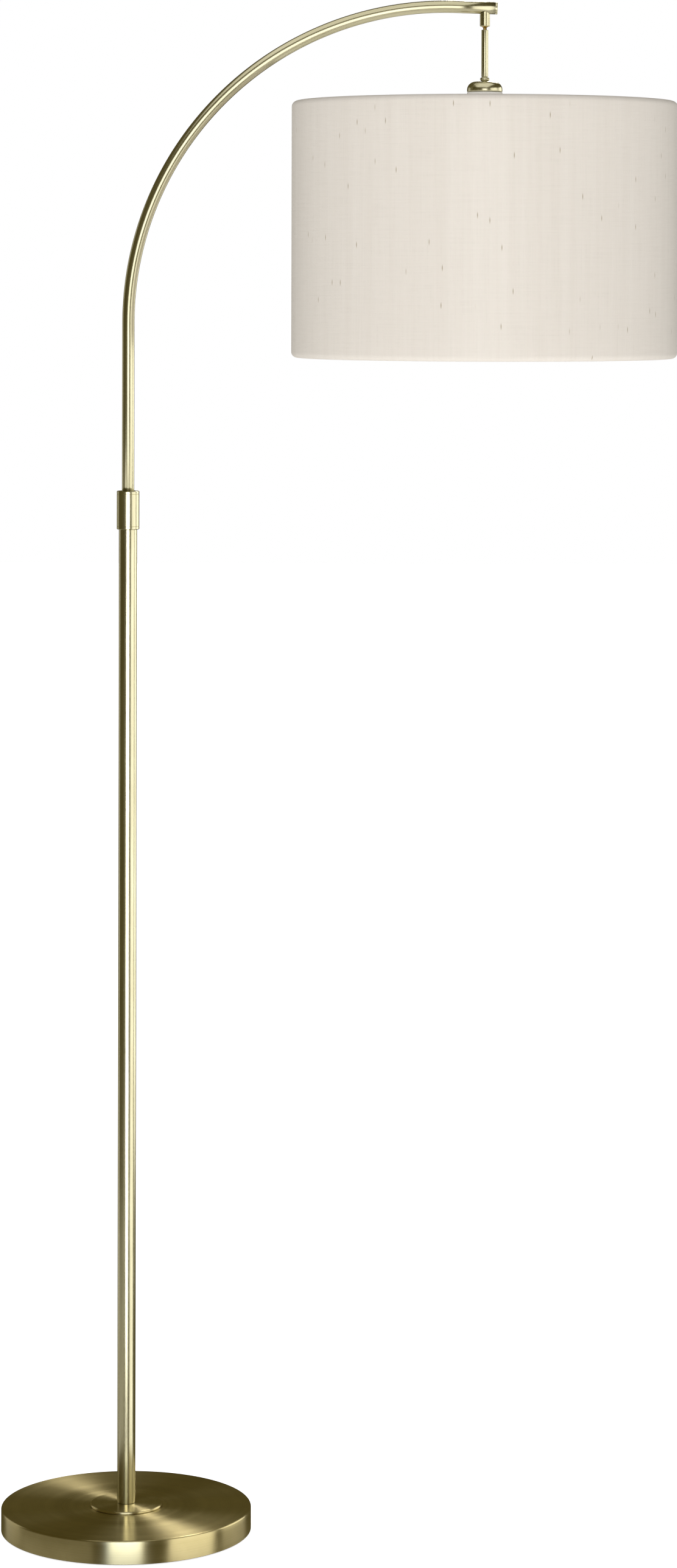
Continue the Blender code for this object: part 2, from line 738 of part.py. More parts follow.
def make_shade_frame(wire, body):
    """Centre ring, three spider arms and the top hoop, welded into one piece."""
    thickness = 2.0
    inner = SKIRT_RADIUS + 0.4
    centre_ring = ring(inner, SPIDER_RADIUS, SPIDER_Z - thickness / 2, SPIDER_Z + thickness / 2)
    frame = turned("shade_frame", centre_ring, wire, x=HANG_X, parent=body)
    hoop_z = SHADE_TOP - 4.0
    axis = Vector((HANG_X, 0.0, 0.0))
    for i in range(3):
        turn = math.radians(30.0 + 120.0 * i)
        out = Vector((math.cos(turn), math.sin(turn), 0.0))
        start = axis + out * (SPIDER_RADIUS - 2.0) + Vector((0.0, 0.0, SPIDER_Z + 0.7))
        end = axis + out * HOOP_RADIUS + Vector((0.0, 0.0, hoop_z))
        join(frame, cylinder_mesh("spider_arm", WIRE_RADIUS - 0.05, start, end, 8))
    hoop = turned_mesh("top_hoop", torus_outline(HOOP_RADIUS, hoop_z, WIRE_RADIUS), BIG_STEPS)
    hoop.transform(Matrix.Translation((HANG_X * MM, 0.0, 0.0)))
    join(frame, hoop)


def make_shade(linen, lining, wire, body):
    make_shade_frame(wire, body)
    hoop = torus_outline(HOOP_RADIUS, SHADE_BOTTOM + 4.0, WIRE_RADIUS)
    turned("shade_bottom_hoop", hoop, wire, BIG_STEPS, x=HANG_X, parent=body)
    fabric_inner = SHADE_RADIUS - FABRIC_WALL
    lining_outer = fabric_inner - GAP
    lining_top = SHADE_TOP - FABRIC_WALL - GAP
    lining_bottom = SHADE_BOTTOM + FABRIC_WALL + GAP
    liner = ring(lining_outer - LINING_WALL, lining_outer, lining_bottom, lining_top)
    turned("shade_lining", liner, lining, BIG_STEPS, x=HANG_X, parent=body)
    hem = SHADE_RADIUS - HEM
    edge = 0.8
    outline = [
        (hem, SHADE_TOP),
        (SHADE_RADIUS - edge, SHADE_TOP),
        (SHADE_RADIUS, SHADE_TOP - edge),
        (SHADE_RADIUS, SHADE_BOTTOM + edge),
        (SHADE_RADIUS - edge, SHADE_BOTTOM),
        (hem, SHADE_BOTTOM),
        (hem, SHADE_BOTTOM + FABRIC_WALL),
        (fabric_inner, SHADE_BOTTOM + FABRIC_WALL),
        (fabric_inner, SHADE_TOP - FABRIC_WALL),
        (hem, SHADE_TOP - FABRIC_WALL),
    ]
    turned("shade_fabric", outline, linen, BIG_STEPS, x=HANG_X, parent=body)


def make_shade_ring(holder, body):
    """Threaded ring on the lampholder's skirt that clamps the shade's centre ring."""
    top = SPIDER_Z - 1.0 - GAP
    inner = SKIRT_RADIUS + CLEARANCE
    outline = [
        (inner, top),
        (27.0, top),
        (27.0, top - 2.2),
        (24.0, top - 3.0),
        (24.0, top - 8.0),
        (inner, top - 8.0),
    ]
    turned("shade_ring", outline, holder, x=HANG_X, parent=body)


# --------------------------------------------------------------------- bulb


def make_bulb(materials, body):
    make_bulb_dome(materials["opal"], body)
    neck = BULB_CAP_RADIUS - 0.8
    housing = [
        (11.4, BULB_NECK_Z + 5.5),
        (11.4, BULB_NECK_Z),
        (24.8, BULB_RIM_Z + 8.0),
        (24.8, BULB_RIM_Z + GAP),
        (26.6, BULB_RIM_Z + GAP),
        (27.2, BULB_RIM_Z + 7.0),
        (15.6, BULB_NECK_Z - 6.0),
        (14.2, BULB_NECK_Z - GAP),
        (neck, BULB_NECK_Z - GAP),
        (neck, BULB_NECK_Z + 5.5),
    ]
    turned("bulb_housing", housing, materials["housing"], 20, x=HANG_X, parent=body)
    board = ring(2.0, 24.2, BULB_RIM_Z + 1.5, BULB_RIM_Z + 3.0)
    turned("bulb_led_board", board, materials["board"], 20, x=HANG_X, parent=body)
    drop = body.matrix_world.translation.z / MM
    driver = box_mesh("bulb_driver_board", (16.0, 1.2, 20.0), (0.0, 0.0, BULB_RIM_Z + 17.0 - drop))
    add_object("bulb_driver_board", driver, materials["circuit"], (HANG_X, 0.0, drop), body)
    make_bulb_cap(materials, body)


def make_bulb_dome(opal, body):
    wall = 1.2
    centre = (0.0, BULB_BOTTOM + BULB_RADIUS)
    rise = BULB_RIM_Z - centre[1]
    outer = math.degrees(math.asin(rise / BULB_RADIUS))
    inner = math.degrees(math.asin(rise / (BULB_RADIUS - wall)))
    outline = arc(centre, BULB_RADIUS - wall, -90.0, inner, 7)
    outline += arc(centre, BULB_RADIUS, outer, -90.0, 7)
    turned("bulb_dome", outline, opal, 20, closed=False, x=HANG_X, parent=body)


def make_bulb_cap(materials, body):
    wall = 0.4
    top = BULB_NECK_Z + 21.5
    outline = [
        (9.4, top + 2.2),
        (10.2, top + 2.2),
        (BULB_CAP_RADIUS, top),
        (BULB_CAP_RADIUS, BULB_NECK_Z),
        (BULB_CAP_RADIUS - wall, BULB_NECK_Z),
        (BULB_CAP_RADIUS - wall, top - wall),
        (9.4, top + 2.2 - wall),
    ]
    turned("bulb_cap", outline, materials["zinc"], 20, x=HANG_X, parent=body)
    insulator_bottom = top + 2.2 + GAP
    insulator = [
        (1.4, insulator_bottom + 1.8),
        (5.2, insulator_bottom + 1.8),
        (9.8, insulator_bottom),
        (1.4, insulator_bottom),
    ]
    turned("bulb_insulator", insulator, materials["black"], 16, x=HANG_X, parent=body)
    tip_bottom = insulator_bottom + 1.8 + GAP
    tip = [(0.0, tip_bottom + 0.9), (3.0, tip_bottom + 0.9), (4.6, tip_bottom), (0.0, tip_bottom)]
    turned("bulb_contact", tip, materials["zinc"], 16, closed=False, x=HANG_X, parent=body)


def make_pendant(materials):
    body = add_joint("pendant_turn_joint", (HANG_X, 0.0, ROD_TOP))
    make_rod(materials["brass"], materials["zinc"], body)
    make_bell(materials["brass"], body)
    make_lampholder(
        materials["holder"], materials["ceramic"], materials["bright"], materials["zinc"], body
    )
    make_shade_ring(materials["holder"], body)
    make_shade(materials["linen"], materials["lining"], materials["wire"], body)
    make_bulb(materials, body)


def main():
    clear_scene()
    materials = make_materials()
    make_pad(materials["felt"])
    make_weight(materials["iron"])
    make_cover(materials["brass"])
    make_grommet(materials["rubber"])
    make_flange(materials["brass"])
    make_base_fasteners(materials["zinc"])
    make_post(materials["brass"], materials["bright"], materials["nylon"])
    make_collar(materials["brass"])
    arm = make_arm(materials["brass"], materials["nylon"])
    make_swivel_housing(materials["brass"], materials["nylon"], materials["zinc"], arm)
    make_swivel_ball(materials["bright"])
    make_pendant(materials)


main()
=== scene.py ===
"""The looks of an arc floor lamp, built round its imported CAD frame."""

import json
import math

import bpy
from mathutils import Matrix, Vector


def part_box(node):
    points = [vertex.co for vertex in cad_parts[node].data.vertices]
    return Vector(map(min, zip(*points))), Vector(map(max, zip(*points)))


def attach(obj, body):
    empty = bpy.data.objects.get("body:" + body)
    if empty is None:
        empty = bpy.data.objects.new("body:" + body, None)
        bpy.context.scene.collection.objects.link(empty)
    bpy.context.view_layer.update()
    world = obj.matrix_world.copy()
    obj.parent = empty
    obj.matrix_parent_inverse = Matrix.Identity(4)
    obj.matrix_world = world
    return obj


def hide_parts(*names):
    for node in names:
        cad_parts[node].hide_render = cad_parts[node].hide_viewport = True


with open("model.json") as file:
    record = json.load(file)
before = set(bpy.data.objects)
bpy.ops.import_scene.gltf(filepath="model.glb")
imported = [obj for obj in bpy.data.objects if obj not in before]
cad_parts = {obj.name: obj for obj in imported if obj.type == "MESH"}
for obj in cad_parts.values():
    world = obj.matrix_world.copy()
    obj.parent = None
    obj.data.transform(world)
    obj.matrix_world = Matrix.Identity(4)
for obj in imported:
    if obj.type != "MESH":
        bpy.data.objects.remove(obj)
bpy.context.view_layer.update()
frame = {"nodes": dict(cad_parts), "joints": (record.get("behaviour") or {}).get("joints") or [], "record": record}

MM = 0.001

# Where the CAD parts are
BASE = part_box("base_cover")
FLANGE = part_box("base_flange")
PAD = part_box("floor_pad")
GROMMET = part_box("cord_grommet")
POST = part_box("post_tube")
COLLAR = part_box("collar")
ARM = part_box("arm_tube")
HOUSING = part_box("swivel_housing")
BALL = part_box("swivel_ball")
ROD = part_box("pendant_rod")
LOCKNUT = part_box("rod_locknut")
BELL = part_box("lampholder_cap")
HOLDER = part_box("lampholder_body")
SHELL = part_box("socket_shell")
GRIP_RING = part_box("shade_ring")
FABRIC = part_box("shade_fabric")
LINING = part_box("shade_lining")
TOP_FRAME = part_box("shade_frame")
BOTTOM_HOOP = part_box("shade_bottom_hoop")
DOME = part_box("bulb_dome")
BULB_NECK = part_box("bulb_housing")
BULB_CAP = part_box("bulb_cap")

HANG_X = (FABRIC[0].x + FABRIC[1].x) / 2
SHADE_RADIUS = (FABRIC[1].x - FABRIC[0].x) / 2

# The arm's centreline, as it was bent
TUBE_RADIUS = ARM[1].y
TUBE_WALL = 1.0 * MM
BEND_START = 1257.6 * MM
BEND_RADIUS = 328.5 * MM
BEND_SWEEP = math.radians(92.0)
CAP_FACE_X = 382.0 * MM
CAP_THICKNESS = 2.0 * MM
SEAM = 0.3 * MM

# Wire and cloth
WIRE = 1.6 * MM
HOOP_RADIUS = 196.0 * MM
CLOTH = 0.8 * MM
LAP = 12.0 * MM


# ------------ modelling by hand


def deselect():
    bpy.ops.object.select_all(action="DESELECT")


def take(name):
    """Names the primitive just added and moves its place into its mesh."""
    piece = bpy.context.object
    piece.name = piece.data.name = name
    bpy.ops.object.transform_apply(location=True, rotation=True, scale=True)
    return piece


def edit_all():
    bpy.ops.object.mode_set(mode="EDIT")
    bpy.ops.mesh.select_all(action="SELECT")


def face_out(angle=32.0):
    """Merges what meets, turns the faces outwards and smooths them up to that angle."""
    bpy.ops.mesh.select_all(action="SELECT")
    bpy.ops.mesh.remove_doubles(threshold=0.001 * MM)
    bpy.ops.mesh.normals_make_consistent(inside=False)
    bpy.ops.object.mode_set(mode="OBJECT")
    bpy.ops.object.shade_smooth_by_angle(angle=math.radians(angle))


def arc(centre_r, centre_z, radius, first, last, steps):
    """Points of an outline along part of a circle, from one angle in degrees to another."""
    turns = [math.radians(first + (last - first) * i / steps) for i in range(steps + 1)]
    return [(centre_r + radius * math.cos(t), centre_z + radius * math.sin(t)) for t in turns]


def top_edge(radius, top, soft, steps):
    """Points round an outer edge, from the top face to the side."""
    return arc(radius - soft, top - soft, soft, 90, 0, steps)


def foot_edge(radius, bottom, soft, steps):
    """Points round an outer edge, from the side to the underside."""
    return arc(radius - soft, bottom + soft, soft, 0, -90, steps)


def lathe(name, outline, x=0.0, sides=96, angle=32.0):
    """A turned piece: a ring of edges is drawn out and resized along the outline's points, each a
    radius and a height. One that starts on the axis is closed there; others return to the start."""
    deselect()
    solid = outline[0][0] == 0.0
    if solid:
        outline = outline[1:]
    else:
        outline = outline + outline[:1]
    radius, height = outline[0]
    fill = "TRIFAN" if solid else "NOTHING"
    bpy.ops.mesh.primitive_circle_add(
        vertices=sides, radius=radius, fill_type=fill, location=(x, 0.0, height)
    )
    piece = take(name)
    edit_all()
    if solid:
        bpy.ops.mesh.select_mode(type="EDGE")
        bpy.ops.mesh.select_all(action="DESELECT")
        bpy.ops.mesh.select_non_manifold()
    for radius_next, height_next in outline[1:]:
        rise = (0.0, 0.0, height_next - height)
        bpy.ops.mesh.extrude_edges_move(TRANSFORM_OT_translate={"value": rise})
        height = height_next
        if radius_next == 0.0:
            bpy.ops.mesh.merge(type="CENTER")
            break
        size = radius_next / radius
        bpy.ops.transform.resize(value=(size, size, 1.0), center_override=(x, 0.0, height))
        radius = radius_next
    bpy.ops.mesh.select_mode(type="VERT")
    face_out(angle)
    return piece


def select(piece, kind, wanted):
    """In edit mode afterwards, with only the faces or vertices for which wanted(one) holds."""
    bpy.ops.object.mode_set(mode="EDIT")
    bpy.ops.mesh.select_mode(type=kind)
    bpy.ops.mesh.select_all(action="DESELECT")
    bpy.ops.object.mode_set(mode="OBJECT")
    for one in piece.data.polygons if kind == "FACE" else piece.data.vertices:
        one.select = wanted(one)
    bpy.ops.object.mode_set(mode="EDIT")


def activate(piece):
    deselect()
    piece.select_set(True)
    bpy.context.view_layer.objects.active = piece


def apply_modifier(piece, kind, **settings):
    activate(piece)
    modifier = piece.modifiers.new(kind.lower(), kind)
    for setting, value in settings.items():
        setattr(modifier, setting, value)
    bpy.ops.object.modifier_apply(modifier=modifier.name)


def combine(piece, tool, operation):
    """Unites the piece with the tool, or cuts it by the tool, which is used up."""
    apply_modifier(piece, "BOOLEAN", operation=operation, object=tool, solver="EXACT")
    bpy.data.objects.remove(tool)
    activate(piece)
    bpy.ops.object.shade_smooth_by_angle(angle=math.radians(32.0))


def rod_between(name, start, end, radius, sides):
    """A straight wire or drill: a filled circle at its start, drawn out to its end."""
    deselect()
    along = end - start
    turn = along.to_track_quat("Z", "Y").to_euler()
    bpy.ops.mesh.primitive_circle_add(
        vertices=sides, radius=radius, fill_type="NGON", location=start, rotation=turn
    )
    piece = take(name)
    edit_all()
    bpy.ops.mesh.extrude_region_move(TRANSFORM_OT_translate={"value": along})
    face_out()
    return piece


def copy_round(piece, name, turn):
    """A copy with its own mesh, turned about the shade's axis."""
    twin = piece.copy()
    twin.data = piece.data.copy()
    twin.name = twin.data.name = name
    bpy.context.scene.collection.objects.link(twin)
    out = Matrix.Translation((HANG_X, 0.0, 0.0))
    twin.data.transform(out @ Matrix.Rotation(turn, 4, "Z") @ out.inverted())
    return twin


def wrap(piece, place):
    """A UV map in metres, round and along, from place(point): its turn, radius and length."""
    layer = piece.data.uv_layers.new(name="wrap")
    for face in piece.data.polygons:
        middle = place(face.center)[0]
        for loop in face.loop_indices:
            point = piece.data.vertices[piece.data.loops[loop].vertex_index].co
            turn, radius, along = place(point)
            turn += math.tau * round((middle - turn) / math.tau)
            layer.data[loop].uv = (turn * radius, along)


FINISHED = []  # each piece with its body and slot, for the lights that are kept for some of them


def finish_piece(piece, body, slot, *stands_for, material=None):
    """Gives the piece a finish, its slot's or the one named, and says what it rides on."""
    piece.data.materials.clear()
    piece.data.materials.append(material or FINISHES[slot])
    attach(piece, body)
    if stands_for:
        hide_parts(*stands_for)
    FINISHED.append((piece, body, slot))
    return piece


# ------------ materials


def linear(colour):
    """An sRGB hex colour as the linear one that shaders take."""
    parts = [int(colour[i : i + 2], 16) / 255 for i in (1, 3, 5)]
    return (*[c / 12.92 if c <= 0.04045 else ((c + 0.055) / 1.055) ** 2.4 for c in parts], 1.0)


def add(tree, kind, inputs=(), **settings):
    """A new node. Each input is a value, or the output that feeds it."""
    made = tree.nodes.new(kind)
    for setting, value in settings.items():
        setattr(made, setting, value)
    for name, value in dict(inputs).items():
        if isinstance(value, bpy.types.NodeSocket):
            tree.links.new(value, made.inputs[name])
        else:
            made.inputs[name].default_value = value
    return made


def new_material(name, **values):
    """A Principled material with constant values on the shader's own sockets."""
    material = bpy.data.materials.new(name)
    material.use_nodes = True
    shader = material.node_tree.nodes["Principled BSDF"]
    for socket, value in values.items():
        shader.inputs[socket.replace("_", " ")].default_value = value
    return material, material.node_tree, shader


def pattern(tree, size, coordinates="Object", detail=3.0):
    """Noise over the piece, with grains of that size in millimetres: (x, y, z), or one for all."""
    if coordinates == "Object":
        place = add(tree, "ShaderNodeTexCoord").outputs["Object"]
    else:
        place = add(tree, "ShaderNodeUVMap", uv_map=coordinates).outputs["UV"]
    sizes = (size,) * 3 if isinstance(size, float) else size
    scale = tuple(1.0 / (s * MM) for s in sizes)
    mapped = add(tree, "ShaderNodeMapping", {"Vector": place, "Scale": scale})
    noise = {"Vector": mapped.outputs[0], "Scale": 1.0, "Detail": detail, "Roughness": 0.6}
    return add(tree, "ShaderNodeTexNoise", noise).outputs["Fac"]


def shade_between(tree, factor, dark, light, low=0.3, high=0.7):
    """The colour or grey value from dark to light as factor goes from low to high."""
    ramp = add(tree, "ShaderNodeValToRGB", {"Fac": factor})
    for stop, value, colour in zip(ramp.color_ramp.elements, (low, high), (dark, light)):
        stop.position = value
        stop.color = linear(colour) if isinstance(colour, str) else (colour,) * 3 + (1.0,)
    return ramp.outputs["Color"]


def bump(tree, shader, height, depth, strength, under=None):
    """Surface relief of that depth in millimetres, on top of any relief under it."""
    inputs = {"Height": height, "Distance": depth * MM, "Strength": strength}
    if under:
        inputs["Normal"] = under
    relief = add(tree, "ShaderNodeBump", inputs).outputs["Normal"]
    tree.links.new(relief, shader.inputs["Normal"])
    return relief


def paint(tree, shader, colour, roughness=None):
    tree.links.new(colour, shader.inputs["Base Color"])
    if roughness:
        tree.links.new(roughness, shader.inputs["Roughness"])


def plain_finish(name, tones, tone_size, rough, grain_size, relief, detail=(3.0, 3.0), **values):
    """Most surfaces: a tone that drifts over the piece, and a grain for its roughness and relief.
    Tones and rough are low and high; relief is depth and strength; detail is tone's and grain's."""
    material, tree, shader = new_material(name, **values)
    tone = pattern(tree, tone_size, detail=detail[0])
    grain = pattern(tree, grain_size, detail=detail[1])
    paint(tree, shader, shade_between(tree, tone, *tones), shade_between(tree, grain, *rough))
    bump(tree, shader, grain, *relief)
    return material


SPUN_TONES = ("#bfb283", "#dacd9e")
TUBE_TONES = ("#c8c3a4", "#dfdbc0")


def spun_brass():
    """Antique brass sheet brushed on the lathe: rings of fine scratches, which stretch each
    highlight outwards."""
    material, tree, shader = new_material(
        "antique_brass_lathe_brushed", Metallic=1.0, Anisotropic=0.93, Anisotropic_Rotation=0.25
    )
    tangent = add(tree, "ShaderNodeTangent", direction_type="RADIAL", axis="Z")
    tree.links.new(tangent.outputs[0], shader.inputs["Tangent"])
    place = add(tree, "ShaderNodeTexCoord").outputs["Object"]
    parts = add(tree, "ShaderNodeSeparateXYZ", {0: place})
    flat = add(tree, "ShaderNodeCombineXYZ", {"X": parts.outputs["X"], "Y": parts.outputs["Y"]})
    reach = add(tree, "ShaderNodeVectorMath", {0: flat.outputs[0]}, operation="LENGTH")
    out_and_up = {"X": reach.outputs["Value"], "Z": parts.outputs["Z"]}
    rings = add(tree, "ShaderNodeCombineXYZ", out_and_up)
    # Real scratches are 0.1 mm apart; these are drawn 0.5 mm apart, so that they show.
    scratch = {"Vector": rings.outputs[0], "Scale": 1 / (0.5 * MM), "Detail": 2.0}
    scratches = add(tree, "ShaderNodeTexNoise", scratch).outputs["Fac"]
    band = {"Vector": rings.outputs[0], "Scale": 1 / (7.0 * MM), "Detail": 3.0}
    polish = add(tree, "ShaderNodeTexNoise", band).outputs["Fac"]
    patina = pattern(tree, 45.0)
    tone = add(tree, "ShaderNodeMath", {0: scratches, 1: polish}, operation="ADD")
    tone = add(tree, "ShaderNodeMath", {0: tone.outputs[0], 1: patina}, operation="ADD")
    third = add(tree, "ShaderNodeMath", {0: tone.outputs[0], 1: 3.0}, operation="DIVIDE")
    colour = shade_between(tree, third.outputs[0], *SPUN_TONES, 0.38, 0.62)
    paint(tree, shader, colour, shade_between(tree, polish, 0.27, 0.33))
    bump(tree, shader, scratches, 0.02, 0.35)
    return material


def drawn_brass():
    """Antique brass tube, drawn and then brushed along its length: fine straight streaks."""
    material, tree, shader = new_material("antique_brass_drawn_tube", Metallic=1.0)
    # Streaks are drawn 0.6 mm wide and 60 mm long, coarser than the real ones.
    streaks = pattern(tree, (0.6, 60.0, 1.0), "wrap")
    mottle = pattern(tree, (9.0, 120.0, 1.0), "wrap")
    tone = shade_between(tree, mottle, *TUBE_TONES)
    paint(tree, shader, tone, shade_between(tree, streaks, 0.2, 0.28))
    bump(tree, shader, streaks, 0.012, 0.3)
    return material


def turned_brass():
    """Antique brass turned from bar: faint tool rings and a soft satin shine."""
    mottle, rings = 14.0, (30.0, 30.0, 0.35)
    return plain_finish(
        "antique_brass_turned", TUBE_TONES, mottle, (0.2, 0.3), rings, (0.012, 0.3), Metallic=1.0
    )


def contact_brass():
    """Bare rolled brass of the contacts and hidden fittings: bright, yellow, finely scratched."""
    tones, tarnish, scratches = ("#b8923f", "#dcb968"), 5.0, (0.4, 6.0, 0.4)
    return plain_finish(
        "bare_rolled_brass", tones, tarnish, (0.22, 0.38), scratches, (0.01, 0.4), Metallic=1.0
    )


def cast_iron():
    """Sand-cast iron under black primer: a grainy skin with dull high spots."""
    tones, patches, sand = ("#1d1c1b", "#34312e"), 25.0, 0.9
    values = {"detail": (3.0, 5.0), "Specular_IOR_Level": 0.4}
    return plain_finish(
        "sand_cast_iron_primed", tones, patches, (0.62, 0.85), sand, (0.25, 0.8), **values
    )


def zinc_steel():
    """Steel zinc-plated in a barrel: bluish grey with cloudy passivation and small dings."""
    tones, clouds, dings = ("#a9adb4", "#cfccc2"), 4.0, 0.7
    return plain_finish(
        "zinc_plated_steel", tones, clouds, (0.3, 0.46), dings, (0.02, 0.5), Metallic=1.0
    )


def nickel_cap():
    """Nickel-plated aluminium of a bulb's screw cap: pale and bright with a faint drawn grain."""
    tones, haze, grain = ("#c5c2ba", "#dedbd2"), 6.0, (0.5, 0.5, 4.0)
    return plain_finish(
        "nickel_plated_cap", tones, haze, (0.16, 0.3), grain, (0.01, 0.4), Metallic=1.0
    )


def needled_felt():
    """Needle-punched polyester felt: crossed short fibres that scatter light, with no shine."""
    material, tree, shader = new_material(
        "needled_felt", Sheen_Weight=0.35, Sheen_Roughness=0.6, Specular_IOR_Level=0.1
    )
    lengthwise = pattern(tree, (0.5, 4.0, 0.8))
    crosswise = pattern(tree, (4.0, 0.5, 0.8))
    crossed = add(tree, "ShaderNodeMath", {0: lengthwise, 1: crosswise}, operation="MAXIMUM")
    colour = shade_between(tree, crossed.outputs[0], "#2b2926", "#4a463f", 0.4, 0.7)
    paint(tree, shader, colour, shade_between(tree, lengthwise, 0.88, 0.98))
    bump(tree, shader, crossed.outputs[0], 0.3, 0.7)
    return material


def moulded(name, dark, light, rough, texture, depth, **values):
    """A moulded part: a fine even texture from its mould, and a slow drift of tone."""
    flow, roughs = (18.0, 18.0, 30.0), (rough - 0.05, rough + 0.05)
    return plain_finish(name, (dark, light), flow, roughs, texture, (depth, 0.5), **values)


def coated_wire():
    """Steel wire dipped in white epoxy: thick, glossy and a little uneven along its length."""
    material, tree, shader = new_material(
        "white_epoxy_coated_wire", Coat_Weight=0.25, Coat_Roughness=0.15
    )
    runs = pattern(tree, (5.0, 5.0, 2.0))
    pits = pattern(tree, 0.6)
    colour = shade_between(tree, runs, "#e4e1da", "#f3f1ec")
    paint(tree, shader, colour, shade_between(tree, pits, 0.3, 0.4))
    bump(tree, shader, runs, 0.12, 0.5)
    return material


def lining_film():
    """Calendered white styrene film that the cloth is laminated to: smooth, with a fine emboss."""
    tones, waves, emboss = ("#e9e5dc", "#f4f1ea"), (40.0, 40.0, 90.0), 0.8
    name, detail = "laminated_styrene_lining", (1.0, 1.0)
    return plain_finish(name, tones, waves, (0.42, 0.52), emboss, (0.03, 0.5), detail)


def opal_diffuser():
    """Opal polycarbonate dome: milky, light goes a little way in, satin outside."""
    tones, haze, satin = ("#eeebe4", "#f7f5f0"), 12.0, 0.6
    depth = {"Subsurface_Weight": 0.35, "Subsurface_Radius": (3 * MM, 3 * MM, 3 * MM)}
    return plain_finish(
        "opal_polycarbonate", tones, haze, (0.32, 0.4), satin, (0.01, 0.4),
        Subsurface_Scale=1.0, IOR=1.58, **depth,
    )


def cells(tree, scale, randomness, measure):
    """How far each place is from the middle of its cell, with that many cells to the metre."""
    place = add(tree, "ShaderNodeTexCoord").outputs["Object"]
    mapped = add(tree, "ShaderNodeMapping", {"Vector": place, "Scale": scale})
    cell = {"Vector": mapped.outputs[0], "Scale": 1.0, "Randomness": randomness}
    return add(tree, "ShaderNodeTexVoronoi", cell, distance=measure).outputs["Distance"]


def led_board():
    """White solder mask on an aluminium board, with a grid of small yellow emitters."""
    material, tree, shader = new_material("white_solder_mask_with_leds")
    per_metre = 1 / (7.0 * MM)
    distance = cells(tree, (per_metre, per_metre, 0.0), 0.0, "CHEBYCHEV")
    gloss = pattern(tree, 2.0)
    colour = shade_between(tree, distance, "#e8c95a", "#ecebe6", 0.19, 0.21)
    paint(tree, shader, colour, shade_between(tree, gloss, 0.3, 0.42))
    bump(tree, shader, distance, 0.3, 0.3)
    return material


def circuit_board():
    """Green solder mask over copper tracks: paler straight tracks under a glossy film."""
    material, tree, shader = new_material("green_solder_mask", Coat_Weight=0.4, Coat_Roughness=0.2)
    per_metre = 1 / (1.6 * MM)
    tracks = cells(tree, (per_metre, per_metre, per_metre), 0.8, "MANHATTAN")
    gloss = pattern(tree, 3.0)
    colour = shade_between(tree, tracks, "#4c8a55", "#1d4f2c", 0.3, 0.36)
    paint(tree, shader, colour, shade_between(tree, gloss, 0.35, 0.45))
    bump(tree, shader, tracks, 0.05, 0.4)
    return material


def bands(tree, place, spacing, direction, wander):
    """Threads side by side: waves that many millimetres apart, with a little wander."""
    per_metre = math.tau / (20.0 * spacing * MM)
    wave = {"Vector": place, "Scale": per_metre, "Distortion": wander, "Detail": 2.0}
    wave["Detail Scale"] = 0.4
    return add(tree, "ShaderNodeTexWave", wave, bands_direction=direction).outputs["Fac"]


def woven_linen():
    """Slubby linen, plain woven and laminated to its lining: crossed uneven threads, a matt face
    with a slight pressed sheen, faint upright streaks and a scatter of short dark slubs."""
    material, tree, shader = new_material(
        "plain_woven_linen",
        Coat_Weight=0.45,
        Coat_Roughness=0.3,
        Sheen_Weight=0.08,
        Sheen_Roughness=0.5,
    )
    cloth = add(tree, "ShaderNodeUVMap", uv_map="wrap").outputs["UV"]
    # The real threads are 0.6 mm apart; they are drawn 1.3 mm apart, so that the weave shows.
    warp = bands(tree, cloth, 1.3, "X", 1.2)
    weft = bands(tree, cloth, 1.3, "Y", 1.6)
    weave = add(tree, "ShaderNodeMath", {0: warp, 1: weft}, operation="MULTIPLY").outputs[0]
    thick_warp = pattern(tree, (1.6, 45.0, 1.0), "wrap")
    thick_weft = pattern(tree, (45.0, 1.6, 1.0), "wrap")
    yarn = add(tree, "ShaderNodeMath", {0: thick_warp, 1: thick_weft}, operation="ADD").outputs[0]
    streaks = pattern(tree, (9.0, 420.0, 1.0), "wrap", detail=2.0)
    ground = shade_between(tree, yarn, "#d3cbc1", "#dcd4ca", 0.7, 1.3)
    streaked = shade_between(tree, streaks, "#d6cfc5", "#ddd7ce")
    halves = {0: 0.5, 6: ground, 7: streaked}
    worn = add(tree, "ShaderNodeMix", halves, data_type="RGBA").outputs[2]
    threads = shade_between(tree, weave, 0.9, 1.0, 0.0, 0.5)
    darkened = {0: 0.6, 6: worn, 7: threads}
    settings = {"data_type": "RGBA", "blend_type": "MULTIPLY"}
    woven = add(tree, "ShaderNodeMix", darkened, **settings).outputs[2]
    slubs = slub_mask(tree, cloth)
    slubbed = {0: slubs, 6: woven, 7: linear("#a2957f")}
    colour = add(tree, "ShaderNodeMix", slubbed, data_type="RGBA").outputs[2]
    paint(tree, shader, colour, shade_between(tree, weave, 0.62, 0.5, 0.0, 0.6))
    relief = bump(tree, shader, weave, 0.16, 0.55)
    relief = bump(tree, shader, yarn, 0.2, 0.35, relief)
    bump(tree, shader, slubs, 0.25, 0.5, relief)
    return material


